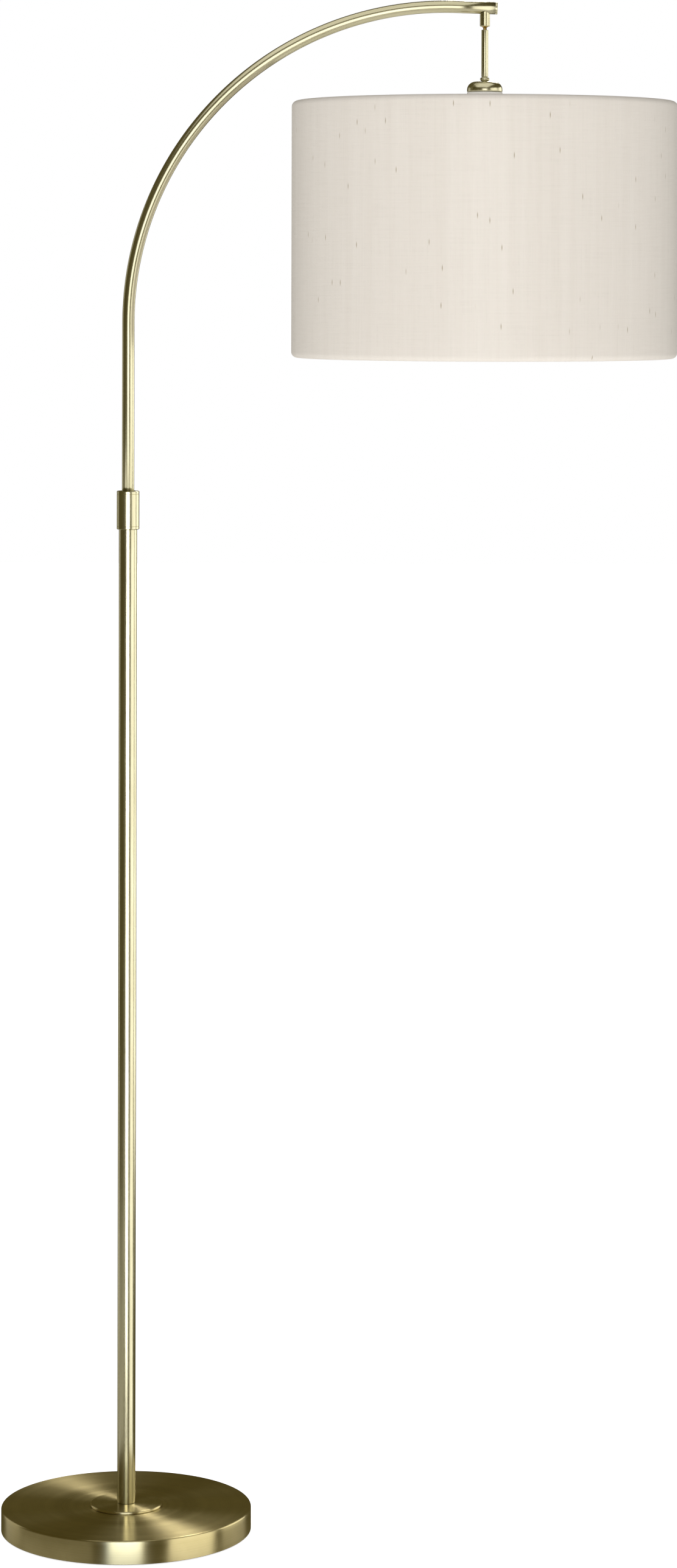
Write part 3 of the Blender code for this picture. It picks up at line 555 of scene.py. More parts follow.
def slub_mask(tree, cloth):
    """Short dark slubs, about 1.6 by 9 mm, in a fifth of the cells of 12 by 68 mm."""
    scale = (1 / (12.0 * MM), 1 / (68.0 * MM), 1.0)
    mapped = add(tree, "ShaderNodeMapping", {"Vector": cloth, "Scale": scale}).outputs[0]
    cell = {"Vector": mapped, "Scale": 1.0, "Randomness": 1.0}
    found = add(tree, "ShaderNodeTexVoronoi", cell, voronoi_dimensions="2D")
    fade = {0: found.outputs["Distance"], 1: 0.015, 2: 0.06, 3: 1.0, 4: 0.0}
    inside = add(tree, "ShaderNodeMapRange", fade).outputs[0]
    lot = add(tree, "ShaderNodeSeparateColor", {0: found.outputs["Color"]}).outputs[0]
    kept = add(tree, "ShaderNodeMapRange", {0: lot, 1: 0.7, 2: 0.85, 3: 0.0, 4: 1.0}).outputs[0]
    return add(tree, "ShaderNodeMath", {0: inside, 1: kept}, operation="MULTIPLY").outputs[0]


FINISHES = {
    "brass_satin": turned_brass(),
    "contact_brass": contact_brass(),
    "cast_iron": cast_iron(),
    "zinc_steel": zinc_steel(),
    "felt": needled_felt(),
    "rubber": moulded("moulded_rubber", "#161616", "#232221", 0.72, 0.8, 0.03),
    "nylon": moulded(
        "moulded_natural_nylon", "#d9d4c4", "#e8e4d7", 0.42, 0.5, 0.01, Subsurface_Weight=0.1
    ),
    "lampholder_white": moulded("moulded_white_thermoset", "#e9e6df", "#f2f0ea", 0.34, 1.2, 0.02),
    "porcelain": moulded(
        "glazed_porcelain", "#ebe7dd", "#f5f2ea", 0.2, 3.0, 0.05, Coat_Weight=0.6
    ),
    "wire_white": coated_wire(),
    "shade_lining": lining_film(),
    "linen": woven_linen(),
    "bulb_opal": opal_diffuser(),
    "bulb_white": moulded("moulded_white_polycarbonate", "#e6e4de", "#f1efea", 0.38, 0.7, 0.015),
    "led_board": led_board(),
    "circuit_green": circuit_board(),
    "bulb_cap_nickel": nickel_cap(),
    "insulator_black": moulded("pressed_black_glass", "#0d0d10", "#1b1a1e", 0.16, 1.5, 0.03),
}
SPUN_BRASS = spun_brass()
DRAWN_BRASS = drawn_brass()


def finish_cad_nodes():
    """Every CAD node, shown or not, gets the finish of its slot."""
    for part in frame["record"]["subparts"]:
        node = frame["nodes"][part["node"]]
        for slot in node.material_slots:
            slot.material = FINISHES[part["material_slot"]]


# ------------ base


def make_base_cover():
    """Spun cap with a rolled top edge, drilled at the back for the cord's grommet."""
    radius, top, foot = BASE[1].x, BASE[1].z, BASE[0].z
    roll, wall, hole = 2.0 * MM, 1.2 * MM, 5.3 * MM
    turned_in = 0.5 * MM
    outline = [(hole, top)]
    outline += top_edge(radius, top, roll, 8)
    outline += foot_edge(radius, foot, turned_in, 3)
    outline += [(radius - wall, foot)]
    outline += arc(radius - roll, top - roll, roll - wall, 0, 90, 4)
    outline += [(hole, top - wall)]
    cover = lathe("base_cover_spun", outline, sides=256, angle=40.0)
    middle = (GROMMET[0].z + GROMMET[1].z) / 2
    start, end = Vector((0.0, radius - 8 * MM, middle)), Vector((0.0, radius + 8 * MM, middle))
    combine(cover, rod_between("grommet_drill", start, end, 4.8 * MM, 48), "DIFFERENCE")
    finish_piece(cover, "base", "brass_satin", "base_cover", material=SPUN_BRASS)


def make_floor_pad():
    """Felt disc with a slightly rounded, compressed edge."""
    radius, top, bottom = PAD[1].x, PAD[1].z, PAD[0].z
    edge = 0.5 * MM
    outline = [(0.0, bottom)]
    outline += arc(radius - edge, bottom + edge, edge, -90, 0, 4)
    outline += arc(radius - edge, top - edge, edge, 0, 90, 4)
    outline += [(0.0, top)]
    pad = lathe("floor_pad_felt", outline, sides=160)
    finish_piece(pad, "base", "felt", "floor_pad")


def make_grommet():
    """Rubber ring in the rim, with rounded lips on both sides of the sheet."""
    bore, neck = 3.25 * MM, 4.5 * MM
    flange = (GROMMET[1].x - GROMMET[0].x) / 2
    outer, inner = GROMMET[1].y, GROMMET[0].y
    sheet_outer = BASE[1].x + SEAM
    lip = 0.55 * MM
    outline = [(bore + lip, outer)]
    outline += top_edge(flange, outer, 0.6 * MM, 5)
    outline += [(flange, sheet_outer), (neck, sheet_outer), (neck, inner + 0.9 * MM)]
    outline += [(flange - 0.5 * MM, inner + 0.9 * MM), (flange - 0.5 * MM, inner)]
    outline += [(bore + lip, inner)]
    outline += arc(bore + lip, inner + lip, lip, -90, -180, 4)[1:]
    outline += arc(bore + lip, outer - lip, lip, 180, 90, 4)[:-1]
    grommet = lathe("cord_grommet_moulded", outline, sides=64)
    middle = (GROMMET[0].z + GROMMET[1].z) / 2
    laid = Matrix.Translation((0.0, 0.0, middle)) @ Matrix.Rotation(-math.pi / 2, 4, "X")
    grommet.data.transform(laid)
    finish_piece(grommet, "base", "rubber", "cord_grommet")


def make_base_flange():
    """Turned rosette at the post's foot, with a rolled edge."""
    radius, top, bottom = FLANGE[1].x, FLANGE[1].z, FLANGE[0].z
    hole, roll = 5.3 * MM, 1.7 * MM
    outline = [(hole, top)]
    outline += top_edge(radius, top, roll, 8)
    outline += foot_edge(radius, bottom, 0.3 * MM, 2)
    outline += [(hole, bottom)]
    flange = lathe("base_flange_turned", outline, sides=192, angle=40.0)
    finish_piece(flange, "base", "brass_satin", "base_flange", material=SPUN_BRASS)


# ------------ post, collar and arm


def round_axis(x):
    """Wrap coordinates of an upright round piece: the turn from the front, radius and height."""

    def place(point):
        across = Vector((point.x - x, point.y))
        return math.atan2(across.x, -across.y), across.length, point.z

    return place


def make_post():
    """Drawn tube with softened ends."""
    radius, bore, soft = POST[1].x, 8.5 * MM, 0.3 * MM
    outline = top_edge(radius, POST[1].z, soft, 3)
    outline += foot_edge(radius, POST[0].z, soft, 3)
    outline += [(bore, POST[0].z), (bore, POST[1].z)]
    post = lathe("post_tube_drawn", outline, sides=96)
    wrap(post, round_axis(0.0))
    finish_piece(post, "base", "brass_satin", "post_tube", material=DRAWN_BRASS)


def make_collar():
    """Turned twist collar: rounded edges, a fine groove near each end and a coned roof inside."""
    radius, top, bottom = COLLAR[1].x, COLLAR[1].z, COLLAR[0].z
    hole, bore, roll = 6.7 * MM, 9.95 * MM, 0.9 * MM
    groove = 0.25 * MM
    outline = [(hole, top)]
    outline += top_edge(radius, top, roll, 6)
    for height in (top - 3.2 * MM, bottom + 3.2 * MM):
        outline += [(radius, height + groove), (radius - groove, height)]
        outline += [(radius, height - groove)]
    outline += foot_edge(radius, bottom, roll, 6)
    outline += [(bore, bottom), (bore, POST[1].z + 2.4 * MM)]
    outline += [(7.95 * MM, top - 3.8 * MM), (hole, top - 3.8 * MM)]
    collar = lathe("collar_turned", outline, sides=128)
    wrap(collar, round_axis(0.0))
    finish_piece(collar, "collar", "brass_satin", "collar", material=DRAWN_BRASS)


def arm_end_direction():
    return Vector((math.sin(BEND_SWEEP), 0.0, math.cos(BEND_SWEEP)))


def arm_at(x):
    """The centreline's point at x on the arm's straight end."""
    bend_end = Vector((BEND_RADIUS * (1.0 - math.cos(BEND_SWEEP)), 0.0, BEND_START))
    bend_end.z += BEND_RADIUS * math.sin(BEND_SWEEP)
    along = arm_end_direction()
    return bend_end + along * ((x - bend_end.x) / along.x)


def arm_place(point):
    """Wrap coordinates on the arm: turn about its centreline, radius, and length along."""
    hub = Vector((BEND_RADIUS, 0.0, BEND_START))
    turn = math.atan2(point.z - hub.z, hub.x - point.x)
    turn = min(max(turn, 0.0), BEND_SWEEP)
    spoke = Vector((-math.cos(turn), 0.0, math.sin(turn)))
    off = (point - hub).dot(spoke) - BEND_RADIUS
    forward = Vector((math.sin(turn), 0.0, math.cos(turn)))
    past = (point - hub - spoke * BEND_RADIUS).dot(forward)
    return math.atan2(off, -point.y), TUBE_RADIUS, turn * BEND_RADIUS + past


def make_arm_tube():
    """One tube: straight up, bent round in a single arc, and straight to its end."""
    deselect()
    tail = (0.0, 0.0, ARM[0].z)
    bpy.ops.mesh.primitive_circle_add(vertices=64, radius=TUBE_RADIUS, location=tail)
    tube = take("arm_tube_bent")
    edit_all()
    straight = (0.0, 0.0, BEND_START - ARM[0].z)
    bpy.ops.mesh.extrude_edges_move(TRANSFORM_OT_translate={"value": straight})
    hub = (BEND_RADIUS, 0.0, BEND_START)
    bpy.ops.mesh.spin(steps=120, angle=BEND_SWEEP, center=hub, axis=(0.0, -1.0, 0.0))
    end = arm_at(CAP_FACE_X - CAP_THICKNESS - SEAM)
    bend_end = arm_at(BEND_RADIUS * (1.0 - math.cos(BEND_SWEEP)))
    bpy.ops.mesh.extrude_edges_move(TRANSFORM_OT_translate={"value": end - bend_end})
    face_out()
    apply_modifier(tube, "SOLIDIFY", thickness=TUBE_WALL, offset=-1.0, use_even_offset=True)
    wrap(tube, arm_place)
    finish_piece(tube, "arm", "brass_satin", "arm_tube", material=DRAWN_BRASS)


def make_arm_end_cap():
    """Turned plug with a softened face, seated in the arm's mouth."""
    radius, spigot, soft = TUBE_RADIUS, 4.95 * MM, 0.5 * MM
    outline = [(0.0, 0.0)]
    outline += top_edge(radius, 0.0, soft, 5)
    outline += [(radius, -CAP_THICKNESS), (spigot, -CAP_THICKNESS)]
    outline += [(spigot, -CAP_THICKNESS - 4 * MM), (0.0, -CAP_THICKNESS - 4 * MM)]
    cap = lathe("arm_end_cap_turned", outline, sides=64)
    laid = Matrix.Translation(arm_at(CAP_FACE_X)) @ Matrix.Rotation(BEND_SWEEP, 4, "Y")
    cap.data.transform(laid)
    finish_piece(cap, "arm", "brass_satin", "arm_end_cap")


# ------------ swivel and rod


def make_swivel_housing():
    """Turned cup, its top filed to a saddle that sits round the arm."""
    radius, bore, bottom = HOUSING[1].y, 4.1 * MM, HOUSING[0].z
    top = arm_at(HANG_X).z - 3.9 * MM
    roll = 1.0 * MM
    ball = ball_centre()
    lip = math.sqrt(bore**2 - (ball - bottom) ** 2)
    outline = [(bore, top), (radius, top)]
    outline += foot_edge(radius, bottom, roll, 6)
    outline += [(lip, bottom)] + arc(0.0, ball, bore, -24, 0, 4)
    housing = lathe("swivel_housing_turned", outline, x=HANG_X, sides=64)
    start, end = arm_at(HANG_X - 20 * MM), arm_at(HANG_X + 20 * MM)
    saddle = rod_between("saddle_drill", start, end, TUBE_RADIUS + SEAM, 96)
    combine(housing, saddle, "DIFFERENCE")
    finish_piece(housing, "arm", "brass_satin", "swivel_housing")


def ball_centre():
    """Height of the ball's centre, which is where the pendant tilts."""
    tilt = [joint for joint in frame["joints"] if joint["name"] == "pendant_tilt"]
    return tilt[0]["pos_m"][2]


def make_swivel_ball():
    """Ball and hollow stud, turned in one piece."""
    ball, stud, bore, centre = BALL[1].y, 1.8 * MM, 1.1 * MM, ball_centre()
    top = math.degrees(math.acos(bore / ball))
    neck = -math.degrees(math.acos(stud / ball))
    outline = arc(0.0, centre, ball, top, neck, 20)
    outline += [(stud, BALL[0].z), (bore, BALL[0].z)]
    piece = lathe("swivel_ball_turned", outline, x=HANG_X, sides=48)
    finish_piece(piece, "swivel", "contact_brass", "swivel_ball")


def make_rod():
    """Pendant tube with softened shoulders and a threaded lower end."""
    radius, bore, thread = ROD[1].y, 2.1 * MM, 3.0 * MM
    soft = 0.5 * MM
    shoulder = LOCKNUT[1].z + SEAM
    outline = [(bore, ROD[1].z)]
    outline += top_edge(radius, ROD[1].z, soft, 4)
    outline += foot_edge(radius, shoulder, soft, 4)
    pitch = 1.0 * MM
    turns = int((shoulder - ROD[0].z) / pitch)
    for i in range(turns):
        crest = shoulder - (i + 0.5) * pitch
        outline += [(thread - 0.3 * MM, crest + 0.35 * pitch), (thread, crest)]
    outline += [(thread - 0.3 * MM, ROD[0].z), (bore, ROD[0].z)]
    rod = lathe("pendant_rod_drawn", outline, x=HANG_X, sides=64, angle=25.0)
    wrap(rod, round_axis(HANG_X))
    finish_piece(rod, "pendant", "brass_satin", "pendant_rod", material=DRAWN_BRASS)


def make_rod_locknut():
    """Small turned bead under the rod."""
    top, bottom, hole = LOCKNUT[1].z, LOCKNUT[0].z, 3.3 * MM
    bulge = (top - bottom) / 2
    reach = LOCKNUT[1].y - bulge
    outline = [(hole, top)] + arc(reach, bottom + bulge, bulge, 80, -80, 12) + [(hole, bottom)]
    bead = lathe("rod_locknut_turned", outline, x=HANG_X, sides=64)
    finish_piece(bead, "pendant", "brass_satin", "rod_locknut")


def make_bell():
    """Spun bell over the lampholder: flat crown, round shoulder, rolled lower edge."""
    radius, top, bottom = BELL[1].y, BELL[1].z, BELL[0].z
    hole, flat, rise, wall = 3.3 * MM, 9.4 * MM, 8.5 * MM, 1.0 * MM
    steps = 12

    def shoulder(inset):
        turns = [math.pi / 2 * i / steps for i in range(steps + 1)]
        reach, lift = radius - inset - flat, rise - inset
        return [(flat + reach * math.sin(t), top - rise + lift * math.cos(t)) for t in turns]

    outline = [(hole, top)] + shoulder(0.0)
    outline += foot_edge(radius, bottom, 0.4 * MM, 3)
    outline += [(radius - wall, bottom)] + shoulder(wall)[::-1] + [(hole, top - wall)]
    bell = lathe("lampholder_cap_spun", outline, x=HANG_X, sides=128, angle=40.0)
    finish_piece(bell, "pendant", "brass_satin", "lampholder_cap")


# ------------ lampholder


def thread(crest, root, top, bottom, pitch):
    """Outline down a rounded thread, drawn as rings one pitch apart."""
    points = []
    for i in range(int((top - bottom) / pitch)):
        height = top - i * pitch
        points += [(root, height - 0.1 * pitch), (crest, height - 0.4 * pitch)]
        points += [(crest, height - 0.7 * pitch)]
    return points


def make_lampholder():
    """Moulded body: flange for the shade, threaded skirt, and a ledge for the insulator."""
    top, bottom, body = HOLDER[1].z, HOLDER[0].z, BELL[1].y
    flange, skirt = HOLDER[1].y, 19.5 * MM
    flange_bottom, flange_top = 1482.2 * MM, 1484.2 * MM
    bore, upper_bore, ledge_bore = 16.6 * MM, 17.0 * MM, 14.6 * MM
    ledge = 1485.9 * MM
    soft = 0.5 * MM
    outline = [(upper_bore, top)] + top_edge(body, top, soft, 3)
    outline += [(body, flange_top)] + top_edge(flange, flange_top, soft, 3)
    outline += foot_edge(flange, flange_bottom, soft, 3)
    outline += [(skirt - 0.6 * MM, flange_bottom)]
    outline += thread(skirt, skirt - 0.6 * MM, flange_bottom - MM, bottom + 2 * MM, 2.4 * MM)
    outline += [(skirt - 0.6 * MM, bottom + 0.8 * MM), (skirt - 1.2 * MM, bottom), (bore, bottom)]
    outline += [(bore, ledge), (ledge_bore, ledge), (ledge_bore, ledge + 1.6 * MM)]
    outline += [(upper_bore, ledge + 1.6 * MM)]
    holder = lathe("lampholder_body_moulded", outline, x=HANG_X, sides=96)
    finish_piece(holder, "pendant", "lampholder_white", "lampholder_body")


def make_socket_shell():
    """Rolled screw shell that grips the bulb's cap."""
    outer, inner = SHELL[1].y, 14.0 * MM
    soft = 0.2 * MM
    outline = top_edge(outer, SHELL[1].z, soft, 2)
    outline += foot_edge(outer, SHELL[0].z, soft, 2)
    ripples = thread(inner, inner + 0.3 * MM, SHELL[1].z - MM, SHELL[0].z + MM, 3.6 * MM)
    outline += [(inner, SHELL[0].z)] + ripples[::-1] + [(inner, SHELL[1].z)]
    shell = lathe("socket_shell_rolled", outline, x=HANG_X, sides=64)
    finish_piece(shell, "pendant", "contact_brass", "socket_shell")


def make_shade_ring():
    """Clamping ring with a wide lip and finger ribs round its grip."""
    top, bottom, lip = GRIP_RING[1].z, GRIP_RING[0].z, GRIP_RING[1].y
    grip_top = top - 3.6 * MM
    grip, inner, soft = 24.0 * MM, 19.9 * MM, 0.4 * MM
    outline = [(inner, top)] + top_edge(lip, top, soft, 3)
    outline += [(lip, top - 2.2 * MM), (grip, top - 3.0 * MM), (grip, grip_top)]
    outline += [(grip, bottom + soft), (grip - soft, bottom), (inner, bottom)]
    ribs = 32
    ring = lathe("shade_ring_ribbed", outline, x=HANG_X, sides=4 * ribs)

    def between_ribs(face):
        out = Vector((face.center.x - HANG_X, face.center.y))
        side = int((math.atan2(out.y, out.x) / math.tau % 1.0) * 4 * ribs) % 4
        outer = face.normal.dot(out.to_3d()) > 0
        return bottom + soft < face.center.z < grip_top and outer and side < 2

    select(ring, "FACE", between_ribs)
    bpy.ops.mesh.inset(thickness=0.25 * MM, depth=-0.7 * MM)
    face_out()
    finish_piece(ring, "pendant", "lampholder_white", "shade_ring")


# ------------ shade


def hoop(name, height):
    """A ring of round wire: a small circle spun about the shade's axis."""
    deselect()
    place, upright = (HANG_X + HOOP_RADIUS, 0.0, height), (math.pi / 2, 0.0, 0.0)
    bpy.ops.mesh.primitive_circle_add(vertices=16, radius=WIRE, location=place, rotation=upright)
    ring = take(name)
    edit_all()
    axis_point = (HANG_X, 0.0, height)
    bpy.ops.mesh.spin(steps=192, angle=math.tau, center=axis_point, axis=(0.0, 0.0, 1.0))
    face_out(60.0)
    return ring


def weld_bead(name, place):
    """A flattened drop of weld."""
    deselect()
    bpy.ops.mesh.primitive_uv_sphere_add(
        segments=16, ring_count=10, radius=2.3 * MM, location=place
    )
    bead = take(name)
    edit_all()
    bpy.ops.transform.resize(value=(1.0, 1.0, 0.8), center_override=place)
    face_out(60.0)
    return bead


def make_shade_frame():
    """Pressed centre ring, three spider wires and the top hoop, welded and dipped in white."""
    plate_top, plate_foot = 1481.4 * MM, 1479.4 * MM
    inner, outer, soft = 19.9 * MM, 26.0 * MM, 0.7 * MM
    plate = [(inner, plate_top)] + top_edge(outer, plate_top, soft, 4)
    plate += foot_edge(outer, plate_foot, soft, 4) + [(inner, plate_foot)]
    wires = lathe("shade_frame_welded", plate, x=HANG_X, sides=96)
    hoop_z = TOP_FRAME[1].z - WIRE
    axis = Vector((HANG_X, 0.0, 0.0))
    first = math.radians(30.0)
    out = Vector((math.cos(first), math.sin(first), 0.0))
    start = axis + out * 24.0 * MM + Vector((0.0, 0.0, plate_top - 0.3 * MM))
    end = axis + out * HOOP_RADIUS + Vector((0.0, 0.0, hoop_z))
    spoke = rod_between("spider_wire", start, end, WIRE - 0.05 * MM, 16)
    beads = (weld_bead("ring_weld", start + out * MM), weld_bead("hoop_weld", end - out * MM))
    for bead in beads:
        combine(spoke, bead, "UNION")
    twins = [copy_round(spoke, f"spider_wire_{i}", math.tau * i / 3) for i in (1, 2)]
    combine(wires, hoop("top_hoop", hoop_z), "UNION")
    for wire in (spoke, *twins):
        combine(wires, wire, "UNION")
    finish_piece(wires, "pendant", "wire_white", "shade_frame")


def make_bottom_hoop():
    ring = hoop("bottom_hoop_wire", BOTTOM_HOOP[0].z + WIRE)
    finish_piece(ring, "pendant", "wire_white", "shade_bottom_hoop")


def make_lining():
    """Styrene drum inside the cloth."""
    outer, wall, short = LINING[1].y, 0.6 * MM, 3.4 * MM
    top, bottom = LINING[1].z - short, LINING[0].z + short
    outline = [(outer, top), (outer, bottom), (outer - wall, bottom), (outer - wall, top)]
    lining = lathe("shade_lining_rolled", outline, x=HANG_X, sides=256)
    finish_piece(lining, "pendant", "shade_lining", "shade_lining")


def cloth_place(point):
    """Wrap coordinates of the cloth, joined at the back; they run on over the turned-in hems."""
    across = Vector((point.x - HANG_X, point.y))
    turned_in = SHADE_RADIUS - across.length
    middle = (FABRIC[0].z + FABRIC[1].z) / 2
    along = point.z + math.copysign(turned_in, point.z - middle)
    return math.atan2(across.x, -across.y), SHADE_RADIUS, along


def make_fabric():
    """Linen stretched over both hoops, with soft rolled edges and its hems turned in."""
    top, bottom = FABRIC[1].z, FABRIC[0].z
    roll, hem = 6.0 * MM, 9.0 * MM
    inside = SHADE_RADIUS - CLOTH
    tip = SHADE_RADIUS - hem
    half = CLOTH / 2
    outline = arc(tip + half, top - half, half, -90, -270, 6)
    outline += top_edge(SHADE_RADIUS, top, roll, 8)
    straight, steps = top - bottom - 2 * roll, 12
    outline += [(SHADE_RADIUS, top - roll - straight * i / steps) for i in range(1, steps)]
    outline += foot_edge(SHADE_RADIUS, bottom, roll, 8)
    outline += arc(tip + half, bottom + half, half, -90, -270, 6)
    outline += arc(inside - roll + CLOTH, bottom + roll, roll - CLOTH, -90, 0, 6)
    outline += arc(inside - roll + CLOTH, top - roll, roll - CLOTH, 0, 90, 6)
    cloth = lathe("shade_fabric_linen", outline, x=HANG_X, sides=288, angle=50.0)
    wrap(cloth, cloth_place)
    finish_piece(cloth, "pendant", "linen", "shade_fabric")
    return cloth


def make_lap():
    """The cloth's overlap: a narrow strip up the back, one thickness of thread proud."""
    deselect()
    short = 3 * MM
    bpy.ops.mesh.primitive_circle_add(
        vertices=720, radius=SHADE_RADIUS, location=(HANG_X, 0.0, FABRIC[0].z + short)
    )
    strip = take("shade_lap_seam")
    select(strip, "VERT", lambda v: v.co.y < 0.0 or abs(v.co.x - HANG_X) > LAP / 2)
    bpy.ops.mesh.delete(type="VERT")
    bpy.ops.mesh.select_all(action="SELECT")
    rise = (0.0, 0.0, FABRIC[1].z - FABRIC[0].z - 2 * short)
    bpy.ops.mesh.extrude_edges_move(TRANSFORM_OT_translate={"value": rise})
    face_out(60.0)
    side = 1.0 if strip.data.polygons[0].normal.y > 0.0 else -1.0
    apply_modifier(strip, "SOLIDIFY", thickness=0.35 * MM, offset=side, use_even_offset=True)
    wrap(strip, cloth_place)
    finish_piece(strip, "pendant", "linen")
    return strip


def make_shade():
    make_shade_frame()
    make_bottom_hoop()
    make_lining()
    cloth, lap = make_fabric(), make_lap()


# ------------ bulb


def make_bulb():
    """Bulb in its holder: opal dome, moulded neck and screw cap."""
    radius, wall = DOME[1].y, 1.2 * MM
    centre, rim = DOME[0].z + radius, DOME[1].z
    inner = radius - wall
    outer_end = math.degrees(math.asin((rim - centre) / radius))
    inner_end = math.degrees(math.asin((rim - centre) / inner))
    outline = [(0.0, centre - inner)] + arc(0.0, centre, inner, -86, inner_end, 20)
    outline += arc(0.0, centre, radius, outer_end, -86, 24) + [(0.0, centre - radius)]
    dome = lathe("bulb_dome_opal", outline, x=HANG_X, sides=64, angle=50.0)
    finish_piece(dome, "pendant", "bulb_opal", "bulb_dome")

    rim_z, neck_z, top_z = BULB_NECK[0].z, BULB_CAP[0].z, BULB_NECK[1].z
    lip, spigot, bore, dish = BULB_NECK[1].y, 12.5 * MM, 11.4 * MM, 24.8 * MM
    outline = [(bore, top_z), (bore, neck_z), (dish, rim_z + 7.7 * MM), (dish, rim_z)]
    outline += [(26.6 * MM, rim_z)] + arc(lip - 0.8 * MM, rim_z + 6.7 * MM, 0.8 * MM, 0, 40, 4)
    outline += [(21.071 * MM, neck_z - 5.936 * MM), (15.6 * MM, neck_z - 6.0 * MM)]
    outline += [(14.2 * MM, neck_z - SEAM), (spigot, neck_z - SEAM), (spigot, top_z)]
    neck = lathe("bulb_housing_moulded", outline, x=HANG_X, sides=64)
    finish_piece(neck, "pendant", "bulb_white", "bulb_housing")

    crest, root, hole, sheet = BULB_CAP[1].y, 12.9 * MM, 9.4 * MM, 0.4 * MM
    top = BULB_CAP[1].z
    outline = [(hole, top), (hole + 2 * sheet, top), (root, top - 2.2 * MM)]
    outline += thread(crest, root, top - 2.6 * MM, neck_z + 3.0 * MM, 3.6 * MM)
    outline += [(crest, neck_z + 1.2 * MM), (crest, neck_z)]
    outline += [(crest - sheet, neck_z), (root - sheet, top - 2.2 * MM - sheet)]
    outline += [(hole, top - sheet)]
    cap = lathe("bulb_cap_threaded", outline, x=HANG_X, sides=64, angle=45.0)
    finish_piece(cap, "pendant", "bulb_cap_nickel", "bulb_cap")


# ------------ floor, lights and camera


def make_floor():
    """Plain pale floor. It stops no light, so the foot is lit as evenly as the head."""
    deselect()
    bpy.ops.mesh.primitive_plane_add(size=30.0, location=(0.0, 0.0, -0.5 * MM))
    floor = take("studio_floor")
    glow = {"Emission_Color": (1.0, 1.0, 1.0, 1.0), "Emission_Strength": 0.75}
    material, tree, shader = new_material(
        "matt_white_paper", Specular_IOR_Level=0.0, Roughness=1.0, **glow
    )
    paint(tree, shader, shade_between(tree, pattern(tree, 900.0), 0.93, 0.95))
    floor.data.materials.append(material)
    floor.visible_shadow = False
    floor.visible_glossy = False


def only_for(light, pieces):
    """Keeps a light for these pieces, as flags and screens do in a studio."""
    receivers = bpy.data.collections.new("lit_by_" + light.name)
    for piece in pieces:
        receivers.objects.link(piece)
    light.light_linking.receiver_collection = receivers


def softbox(name, bearing, height, distance, size, radiance, colour):
    """An area light aimed at the lamp. Bearing is in degrees from the front, to the right."""
    turn = math.radians(bearing)
    target = Vector((0.15, 0.0, height[1]))
    place = Vector((math.sin(turn), -math.cos(turn), 0.0)) * distance
    place.z = height[0]
    data = bpy.data.lights.new(name, "AREA")
    data.shape = "RECTANGLE"
    data.size, data.size_y = size
    data.energy = radiance * math.pi * size[0] * size[1]
    data.color = linear(colour)[:3]
    light = bpy.data.objects.new(name, data)
    light.location = place
    light.rotation_euler = (place - target).to_track_quat("Z", "Y").to_euler()
    light.visible_camera = False
    bpy.context.scene.collection.objects.link(light)
    return light


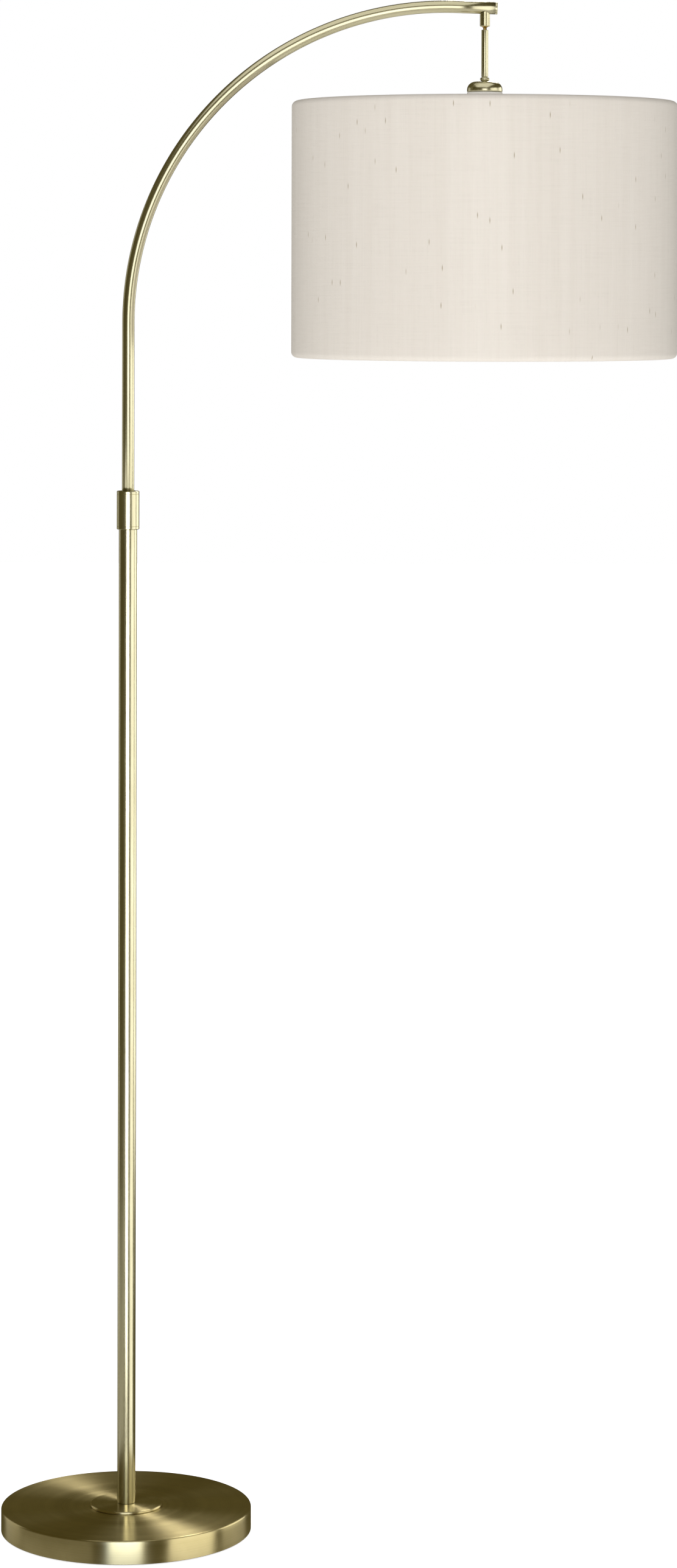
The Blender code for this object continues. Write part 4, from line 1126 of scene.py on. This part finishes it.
def make_lights():
    """A soft front light for all, then banks kept for the brass, which would bleach the linen."""
    flat = 100.0 * MM  # the base's cover and flange are lower than this, and its post is taller
    brass = [(piece, body) for piece, body, slot in FINISHED if slot == "brass_satin"]
    upper = [piece for piece, body in brass if body in ("arm", "pendant")]
    disc = [piece for piece, body in brass if body == "base" and piece.dimensions.z < flat]
    tubes = [piece for piece, body in brass if piece not in upper and piece not in disc]
    matt = [piece for piece, body, slot in FINISHED if slot != "brass_satin"]
    tall = (0.3, 0.3)
    softbox("front_strip", 3.0, tall, 5.2, (2.8, 4.8), 2.0, "#fffefb")
    post_strip = softbox("post_strip", 1.0, tall, 5.2, (2.8, 4.8), 3.0, "#fffefb")
    only_for(post_strip, tubes)
    for light in (
        softbox("right_brass_fill", 66.0, tall, 3.6, (3.2, 4.8), 1.5, "#fffdf6"),
        softbox("right_brass_bank", 118.0, (1.0, 1.0), 3.6, (2.6, 3.0), 1.6, "#fffdf6"),
        softbox("left_brass_bank", -125.0, (0.6, 0.6), 4.0, (2.2, 4.0), 0.5, "#f4f2ea"),
        softbox("low_left_bank", -70.0, (-2.1, -2.1), 3.6, (6.5, 2.4), 0.35, "#fffdf6"),
        softbox("high_back_spot", 161.0, (2.5, 0.2), 2.05, (0.5, 0.5), 17.0, "#fffaf0"),
    ):
        only_for(light, upper + disc + tubes)
    for light in (
        softbox("disc_strip", 1.0, tall, 5.2, (2.8, 4.8), 2.2, "#b9d2ff"),
        softbox("disc_edge_bank", 0.0, (3.0, 0.0), 0.9, (2.4, 0.7), 1.2, "#fffdf6"),
    ):
        only_for(light, disc)
    for light in (
        softbox("arm_top_bank", 0.0, (3.6, 1.5), 0.6, (3.6, 3.6), 0.85, "#fffdf8"),
        softbox("arm_under_bank", 0.0, (-1.2, 1.5), 0.6, (5.0, 5.0), 0.7, "#fffdf8"),
    ):
        only_for(light, upper)
    only_for(softbox("overhead_soft", 0.0, (3.8, 1.4), 0.5, (3.0, 3.0), 0.3, "#fffdfa"), matt)


def make_world():
    """White behind everything, soft daylight on matt surfaces, a dim warm room in the metal."""
    world = bpy.data.worlds.new("studio_sweep")
    bpy.context.scene.world = world
    world.use_nodes = True
    tree = world.node_tree
    tree.nodes.clear()
    rays = add(tree, "ShaderNodeLightPath")
    room = add(tree, "ShaderNodeBackground", {"Color": linear("#59512f"), "Strength": 0.95})
    daylight = add(tree, "ShaderNodeBackground", {"Color": linear("#ffffff"), "Strength": 0.6})
    sweep = add(tree, "ShaderNodeBackground", {"Color": (1.0, 1.0, 1.0, 1.0), "Strength": 1.0})
    lit = {0: rays.outputs["Is Diffuse Ray"], 1: room.outputs[0], 2: daylight.outputs[0]}
    matt = add(tree, "ShaderNodeMixShader", lit)
    seen = {0: rays.outputs["Is Camera Ray"], 1: matt.outputs[0], 2: sweep.outputs[0]}
    shown = add(tree, "ShaderNodeMixShader", seen)
    add(tree, "ShaderNodeOutputWorld", {"Surface": shown.outputs[0]})


def make_camera():
    """Level with the shade and a little left of its middle, tilted down by less than a degree."""
    tilt_down, roll = math.radians(0.954), math.radians(0.15)
    data = bpy.data.cameras.new("camera")
    data.lens = 99.55
    data.sensor_width = 36.0
    data.shift_y = -0.28
    data.clip_end = 100.0
    camera = bpy.data.objects.new("camera", data)
    camera.location = (0.2181, -4.5, 1.31)
    look = Matrix.Rotation(math.pi / 2 - tilt_down, 4, "X")
    camera.rotation_euler = (look @ Matrix.Rotation(roll, 4, "Z")).to_euler()
    bpy.context.scene.collection.objects.link(camera)
    bpy.context.scene.camera = camera


finish_cad_nodes()
make_base_cover()
make_floor_pad()
make_grommet()
make_base_flange()
make_post()
make_collar()
make_arm_tube()
make_arm_end_cap()
make_swivel_housing()
make_swivel_ball()
make_rod()
make_rod_locknut()
make_bell()
make_lampholder()
make_socket_shell()
make_shade_ring()
make_shade()
make_bulb()
make_floor()
make_lights()
make_world()
make_camera()
bpy.context.scene.view_settings.view_transform = "Standard"
